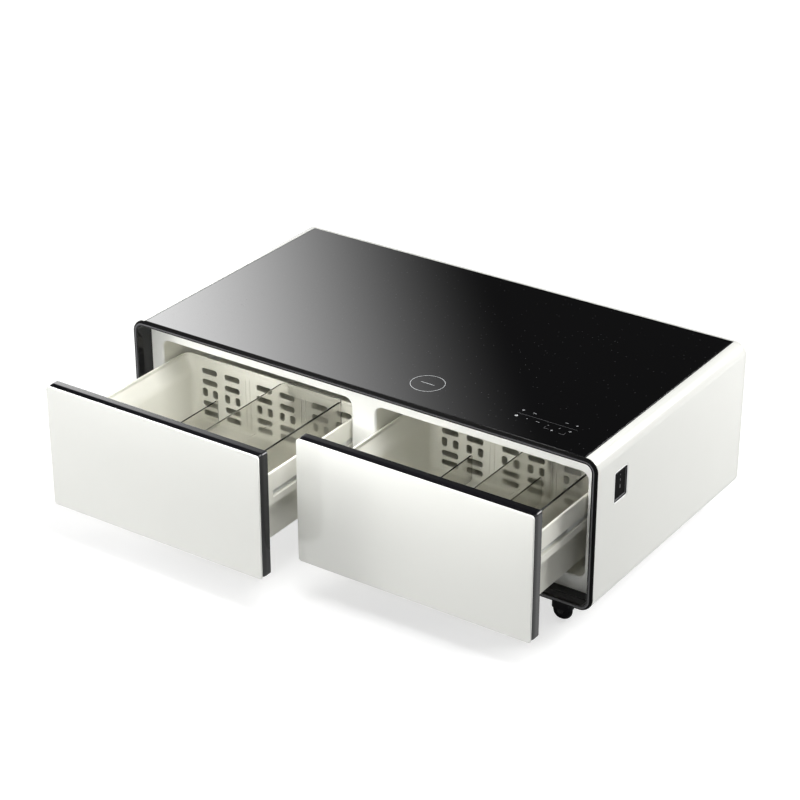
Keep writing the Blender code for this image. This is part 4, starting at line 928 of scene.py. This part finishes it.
# %% Tub shapes
def tub_body(name, low, high):
    """The outside: a rounded box, less two blocks on each side.

    The tall block leaves the narrower lower part below the lip, the flat one the slides' channel.
    """
    wall = [(-0.006, low.z), (0, low.z), (0, high.z), (-0.004, high.z)]
    wall = eased(wall, (0, 0.003, 0.0026, 0), steps=5)
    tub = add(name, skin(carried(low[:2], high[:2], (FRONT_ROUND, REAR_ROUND), wall, "Z")))
    middle = (low.x + high.x) / 2
    cuts = ((TUB_LOWER, TUB_WALL, low.z - OVER, LIP), (TUB_CHANNEL, TUB_BLOCK, *CHANNEL))
    steps = []
    for side in (-1, 1):
        for half, start, base, top in cuts:
            left, right = sorted((middle + side * half, middle + side * (half + 0.04)))
            steps.append(block((left, low.y + start, base), (right, high.y + OVER, top)))
    return carve(tub, add("steps", *steps))


def tub_hollow(low, high):
    """The hollow: its lower part, side walls that lean out above it, and a bead round the rim.

    The walls lean along X only, so every ring gets its own two half widths.
    """
    lean = np.array([
        (TUB_INNER - 0.02, TUB_FLOOR),
        (TUB_INNER, TUB_FLOOR),
        (TUB_INNER, LEAN_BASE - 0.0060),
        (TUB_UPPER, high.z - 0.008),
        (TUB_UPPER - TUB_BEAD, high.z - 0.005),
        (TUB_UPPER - TUB_BEAD, high.z - 0.0008),
        (TUB_UPPER, high.z + 0.0012),
        (TUB_UPPER, high.z + OVER),
    ])
    across, depth = eased(lean, (0, 0.006, 0.0120, 0.0040, 0.0012, 0.0006, 0, 0), steps=6).T
    upper = depth > LEAN_BASE + 0.010
    shrink = np.where(upper, TUB_UPPER - across, np.maximum(TUB_INNER - across, 0))[:, None]
    middle = (low.x + high.x) / 2
    near = np.column_stack([middle - across, np.full(len(depth), low.y + TUB_WALL)])
    away = np.column_stack([middle + across, np.full(len(depth), high.y - TUB_WALL)])
    near[:, 1:] += shrink
    away[:, 1:] -= shrink
    rounds = np.array([FRONT_ROUND, REAR_INNER_ROUND]) - np.minimum(shrink, FRONT_ROUND - SHARP)
    loops = rings(near, away, rounds)
    levels = np.broadcast_to(depth[:, None, None], loops.shape[:2] + (1,))
    return add("hollow", skin(np.concatenate([loops, levels], axis=-1)))


def tub_slots(low, high):
    """The air slots, each a small round-cornered tool whose ends flare into a chamfer."""
    middle, tall = (low.x + high.x) / 2, high.z - TUB_FLOOR
    front, back = high.y - TUB_WALL, high.y
    flare = [
        (SLOT_BEAD, front - 0.004),
        (SLOT_BEAD, front),
        (0, front + SLOT_BEAD),
        (0, back - 0.0008),
        (0.0008, back),
        (0.0008, back + 0.004),
    ]
    tools = []
    for share in SLOT_PAIRS:
        for offset in (-SLOT_HALF_PITCH, SLOT_HALF_PITCH):
            x = middle + share * TUB_INNER + offset
            places = [(x, row, SLOT) for row in SLOT_ROWS]
            places += [(x + shift, SHORT_ROW, SHORT_SLOT) for shift in (-SHORT_HALF_PITCH, SHORT_HALF_PITCH)]
            for place, row, size in places:
                spot = np.array([place, TUB_FLOOR + row * tall])
                half = np.array(size) / 2 - SLOT_BEAD / 2
                tools.append(skin(carried(spot - half, spot + half, 0.36 * min(size), flare, "Y", 5)))
    return add("air_slots", *tools)


def tub_ribs(low, high):
    """Low upright ribs on the rear wall, with rounded ends."""
    middle, wall = (low.x + high.x) / 2, high.y - TUB_WALL
    rise = [(0.0006, wall + 0.001), (0, wall - 0.0004), (-0.0006, wall - 0.0012)]
    tools = []
    for x in RIBS:
        plan = ((middle + x - RIB_HALF, TUB_FLOOR + 0.014), (middle + x + RIB_HALF, high.z - 0.012))
        tools.append(skin(carried(*plan, 0.0011, rise, "Y", 4)))
    return add("ribs", *tools)


# %% Tubs
for hand in ("left", "right"):
    low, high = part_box(hand + "_bin")
    tub = carve(tub_body(hand + "_tub", low, high), tub_hollow(low, high))
    settle(bevelled(tub, 0.0008, 3, 50))
    carve(tub, tub_slots(low, high))
    carve(tub, tub_ribs(low, high), how="UNION")
    dress(tub, tub_plastic, hand + "_drawer", hand + "_bin")
    print(hand, "tub:", len(tub.data.polygons), "faces")

# %% [markdown]
# ## Baskets and dividers
# A clear smoked basket hangs on the tub's front and rear walls by two flanges and slides sideways.
# Its side rims carry a strip: dark on the right, clear on the left. Low plates of the same clear
# plastic divide the rest of the tub. Each has a dark strip on its upper edge.

# %% Baskets
BASKET_WALL = 0.0025
for hand in ("left", "right"):
    low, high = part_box(hand + "_basket")
    tub_low, tub_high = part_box(hand + "_bin")
    front, back = tub_low.y + TUB_WALL + FIT, tub_high.y - TUB_WALL - FIT
    vessel = [
        (-0.020, low.z),
        (0, low.z),
        (0, high.z),
        (-BASKET_WALL, high.z),
        (-BASKET_WALL, low.z + BASKET_WALL),
        (-0.022, low.z + BASKET_WALL),
    ]
    vessel = eased(vessel, (0, 0.004, 0.0007, 0.0007, 0.003, 0), steps=5)
    plan = ((low.x, front), (high.x, back))
    basket = add(hand + "_tray", skin(carried(*plan, (0.010, REAR_INNER_ROUND), vessel, "Z")))
    hooks = []
    for y0, y1 in ((low.y, front + 0.0015), (back - 0.0015, high.y)):
        hook = ((low.x + 0.008, y0, high.z - 0.0022), (high.x - 0.014, y1, high.z - 0.0001))
        hooks.append(block(*hook, 0.0005, "Z", 0.002))
    carve(basket, add("hooks", *hooks), how="UNION")
    dress(basket, smoked, hand + "_basket", hand + "_basket")
    for name, x, width, material in (
        ("dark_strip", high.x - 0.0022, 0.0046, black_gloss),
        ("clear_strip", low.x + 0.0016, 0.0034, smoked),
    ):
        strip = block(
            (x - width / 2, front + 0.0105, high.z - 0.0002),
            (x + width / 2, back - 0.0185, high.z + 0.0016),
            0.0005,
            "Y",
            0.0009,
        )
        dress(add(f"{hand}_{name}", strip), material, hand + "_basket", slot=hand + "_basket")
print("baskets ready")

# %% Dividers
DIVIDER_ROUND, STRIP_OVER, STRIP_INSET = (0.0012, 0.006), 0.0004, 0.007
for name in ("left_divider_1", "right_divider_1", "right_divider_2"):
    low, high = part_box(name)
    hand = name.split("_")[0]
    plate = eased([(-0.001, low.x), (0, low.x), (0, high.x), (-0.001, high.x)], 0.0004)
    plan = ((low.y, low.z), (high.y, high.z))
    divider = add(name + "_plate", skin(carried(*plan, DIVIDER_ROUND, plate, "X")))
    dress(divider, smoked, hand + "_drawer", name)
    strip_low = (low.x - STRIP_OVER, low.y + STRIP_INSET, high.z - 0.0016)
    strip_high = (high.x + STRIP_OVER, high.y - STRIP_INSET, high.z + 0.0006)
    strip = block(strip_low, strip_high, 0.0004, "Y", 0.0009)
    dress(add(name + "_strip", strip), black_satin, hand + "_drawer", slot=name)
print("dividers ready")

# %% [markdown]
# ## Working parts
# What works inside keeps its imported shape, because few see it: the slides, the cooling plant, the
# electronics and the foam. Each gets a finish of its own and a fine bevel that catches light.

# %% Carried over solids
for node_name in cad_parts:
    if node_name.endswith("_rail"):
        dress_node(node_name, slide_steel, 0.0005)
for node_name, material in (
    ("insulation_foam", foam),
    ("wireless_charger", circuit),
    ("touch_board", circuit),
    ("power_inlet", black_satin),
    ("control_box", grey_sheet),
    ("compressor", black_satin),
    ("compressor_tray", grey_sheet),
    ("condenser", fin_metal),
    ("condenser_fan_frame", black_satin),
    ("condenser_fan_rotor", black_satin),
    ("left_evaporator", grey_sheet),
    ("right_evaporator", grey_sheet),
):
    dress_node(node_name, material)
print("working parts ready")

# %% [markdown]
# ## Stage
# A wide pale floor keeps the object's shadow. Part of its light is an even white that only the
# camera and mirrors see, so it reads as a white page. The black glass needs something to reflect:
# a graded card behind the table, bright at the left and dark at the right, is seen by mirrors only.
# Its light falls as one smooth step along a slanted line, bent a little by a power, and fades out
# near its top. A dark cloth overhead, seen by mirrors only as well, keeps the white world out of the
# rest of the glass.

# %% Planes of the stage
def stage_plane(name, points, material, mirrors_only=False):
    """A single flat face from its corners, which only mirrors see where that is asked."""
    mesh = bpy.data.meshes.new(name)
    mesh.from_pydata(points, [], [tuple(range(len(points)))])
    mesh.materials.append(material)
    made = bpy.data.objects.new(name, mesh)
    bpy.context.scene.collection.objects.link(made)
    if mirrors_only:
        made.visible_camera = made.visible_diffuse = made.visible_shadow = made.visible_transmission = False


def plain(name, grey):
    """A dull material of one grey, and its node tree."""
    made = bpy.data.materials.new(name)
    made.use_nodes = True
    shader = made.node_tree.nodes["Principled BSDF"]
    shader.inputs["Base Color"].default_value = (grey, grey, grey, 1)
    shader.inputs["Roughness"].default_value = 0.9
    return made, made.node_tree


def seen_rays(tree):
    """One for the rays of the camera, of mirrors and through clear plastic, none for the light."""
    rays = node(tree, "LightPath").outputs
    straight = maths(tree, "MAXIMUM", rays["Is Camera Ray"], rays["Is Glossy Ray"])
    return maths(tree, "MAXIMUM", straight, rays["Is Transmission Ray"])


print("stage helpers ready")

# %% Floor and world
FLOOR_REACH = 15.0
WHITE_NEAR, WHITE_FAR, WHITE_LOW = 0.9, 3.2, 0.62
paper, tree = plain("paper", 0.55)
square = rectangle((-FLOOR_REACH, -FLOOR_REACH), (FLOOR_REACH, FLOOR_REACH))
stage_plane("floor", [(x, y, 0) for x, y in square], paper)
place = node(tree, "TexCoord").outputs["Object"]
far = node(tree, "VectorMath", {0: place}, operation="LENGTH").outputs["Value"]
white = ramp(tree, far, WHITE_NEAR, WHITE_FAR, WHITE_LOW, 1.0, "SMOOTHSTEP")
glow = node(tree, "Emission", {"Strength": maths(tree, "MULTIPLY", seen_rays(tree), white)})
both = node(tree, "AddShader", {0: tree.nodes["Principled BSDF"].outputs[0], 1: glow.outputs[0]})
tree.links.new(both.outputs[0], tree.nodes["Material Output"].inputs["Surface"])

world = bpy.data.worlds.new("studio")
world.use_nodes = True
bpy.context.scene.world = world
air = world.node_tree.nodes["Background"]
air.inputs["Color"].default_value = (1, 1, 1, 1)
world.node_tree.links.new(seen_rays(world.node_tree), air.inputs["Strength"])
print("floor and world ready")

# %% Graded card
CARD_Y = 2.5
CARD_LEFT, CARD_RIGHT, CARD_BASE, CARD_TOP = -6.0, -0.1, 0.4, 4.5
PEAK, REST, BEND = 6.0, 0.0067, 0.77
FALL, SLANT, LIFT, FADE = (-4.005, -1.943), (1.0, 0.0, -0.445), (2.15, 2.32), (2.50, 2.95)
graded = bpy.data.materials.new("graded")
graded.use_nodes = True
tree = graded.node_tree
tree.nodes.remove(tree.nodes["Principled BSDF"])
place = node(tree, "TexCoord").outputs["Object"]
height = node(tree, "SeparateXYZ", {"Vector": place}).outputs["Z"]
slant = node(tree, "VectorMath", {0: place, 1: SLANT}, operation="DOT_PRODUCT").outputs["Value"]
slant = maths(tree, "ADD", slant, ramp(tree, height, *LIFT, ease="SMOOTHSTEP"))
bent = maths(tree, "POWER", ramp(tree, slant, *FALL), BEND)
share = ramp(tree, bent, 0.0, 1.0, 1.0, REST, "SMOOTHSTEP")
strength = maths(tree, "MULTIPLY", share, ramp(tree, height, *FADE, PEAK, 0.0))
glow = node(tree, "Emission", {"Strength": strength})
tree.links.new(glow.outputs[0], tree.nodes["Material Output"].inputs["Surface"])
upright = rectangle((CARD_LEFT, CARD_BASE), (CARD_RIGHT, CARD_TOP))
stage_plane("card", [(x, CARD_Y, z) for x, z in upright], graded, mirrors_only=True)
level = rectangle((-7.0, -7.0), (4.0, CARD_Y))
dark_cloth = plain("dark_cloth", 0.01)[0]
stage_plane("roof", [(x, y, CARD_TOP) for x, y in level], dark_cloth, mirrors_only=True)
print("card stands at", CARD_Y)

# %% [markdown]
# ## Light and camera
# Large soft lamps light the object from the left, the front and the back. Small ones reach into
# it: one over each tub, and a long low strip in front that lights the white face panel under the
# overhang. One more, high at the left, draws a highlight along the long edges. The camera stands to
# the right and above, with a long lens.

# %% Lamps
def lamp(name, place, aim, size, power):
    """A rectangular area lamp, seen by no camera, that points at a place."""
    light = bpy.data.lights.new(name, "AREA")
    light.shape = "RECTANGLE"
    light.size, light.size_y = size
    light.energy = power
    made = bpy.data.objects.new(name, light)
    bpy.context.scene.collection.objects.link(made)
    made.location = place
    made.rotation_euler = (Vector(aim) - Vector(place)).to_track_quat("-Z", "Y").to_euler()
    made.visible_camera = False


AIM = (0.0, -0.3, 0.25)
lamp("left_low", (-3.4, -1.8, 1.2), AIM, (1.6, 1.6), 114)
lamp("far_front", (-1.0, -6.5, 2.2), AIM, (3.0, 3.0), 80)
lamp("back_right", (2.2, 2.0, 2.0), (0.5, 0.0, 0.3), (1.4, 1.4), 100)
lamp("over_left", (0.1, -0.40, 1.1), (-0.55, -0.25, 0.25), (0.5, 0.5), 8)
lamp("over_right", (0.75, -0.34, 1.0), (0.1, -0.15, 0.25), (0.4, 0.4), 1.1)
lamp("edge", (-1.7, -1.6, 2.9), (0.0, -0.2, 0.4), (0.7, 0.7), 12)
lamp("strip", (0.08, -0.61, 0.66), (0.08, -0.133, 0.40), (1.42, 0.06), 2.35)

# %% Camera
eye = bpy.data.cameras.new("camera")
eye.lens = 103.6
eye.sensor_width = 36
view = bpy.data.objects.new("camera", eye)
view.location = (2.7436, -4.0147, 2.8247)
view.rotation_euler = (math.radians(90 - 27.1167), 0, math.radians(34.2514))
bpy.context.scene.collection.objects.link(view)
bpy.context.scene.camera = view
bpy.context.scene.view_settings.view_transform = "Standard"
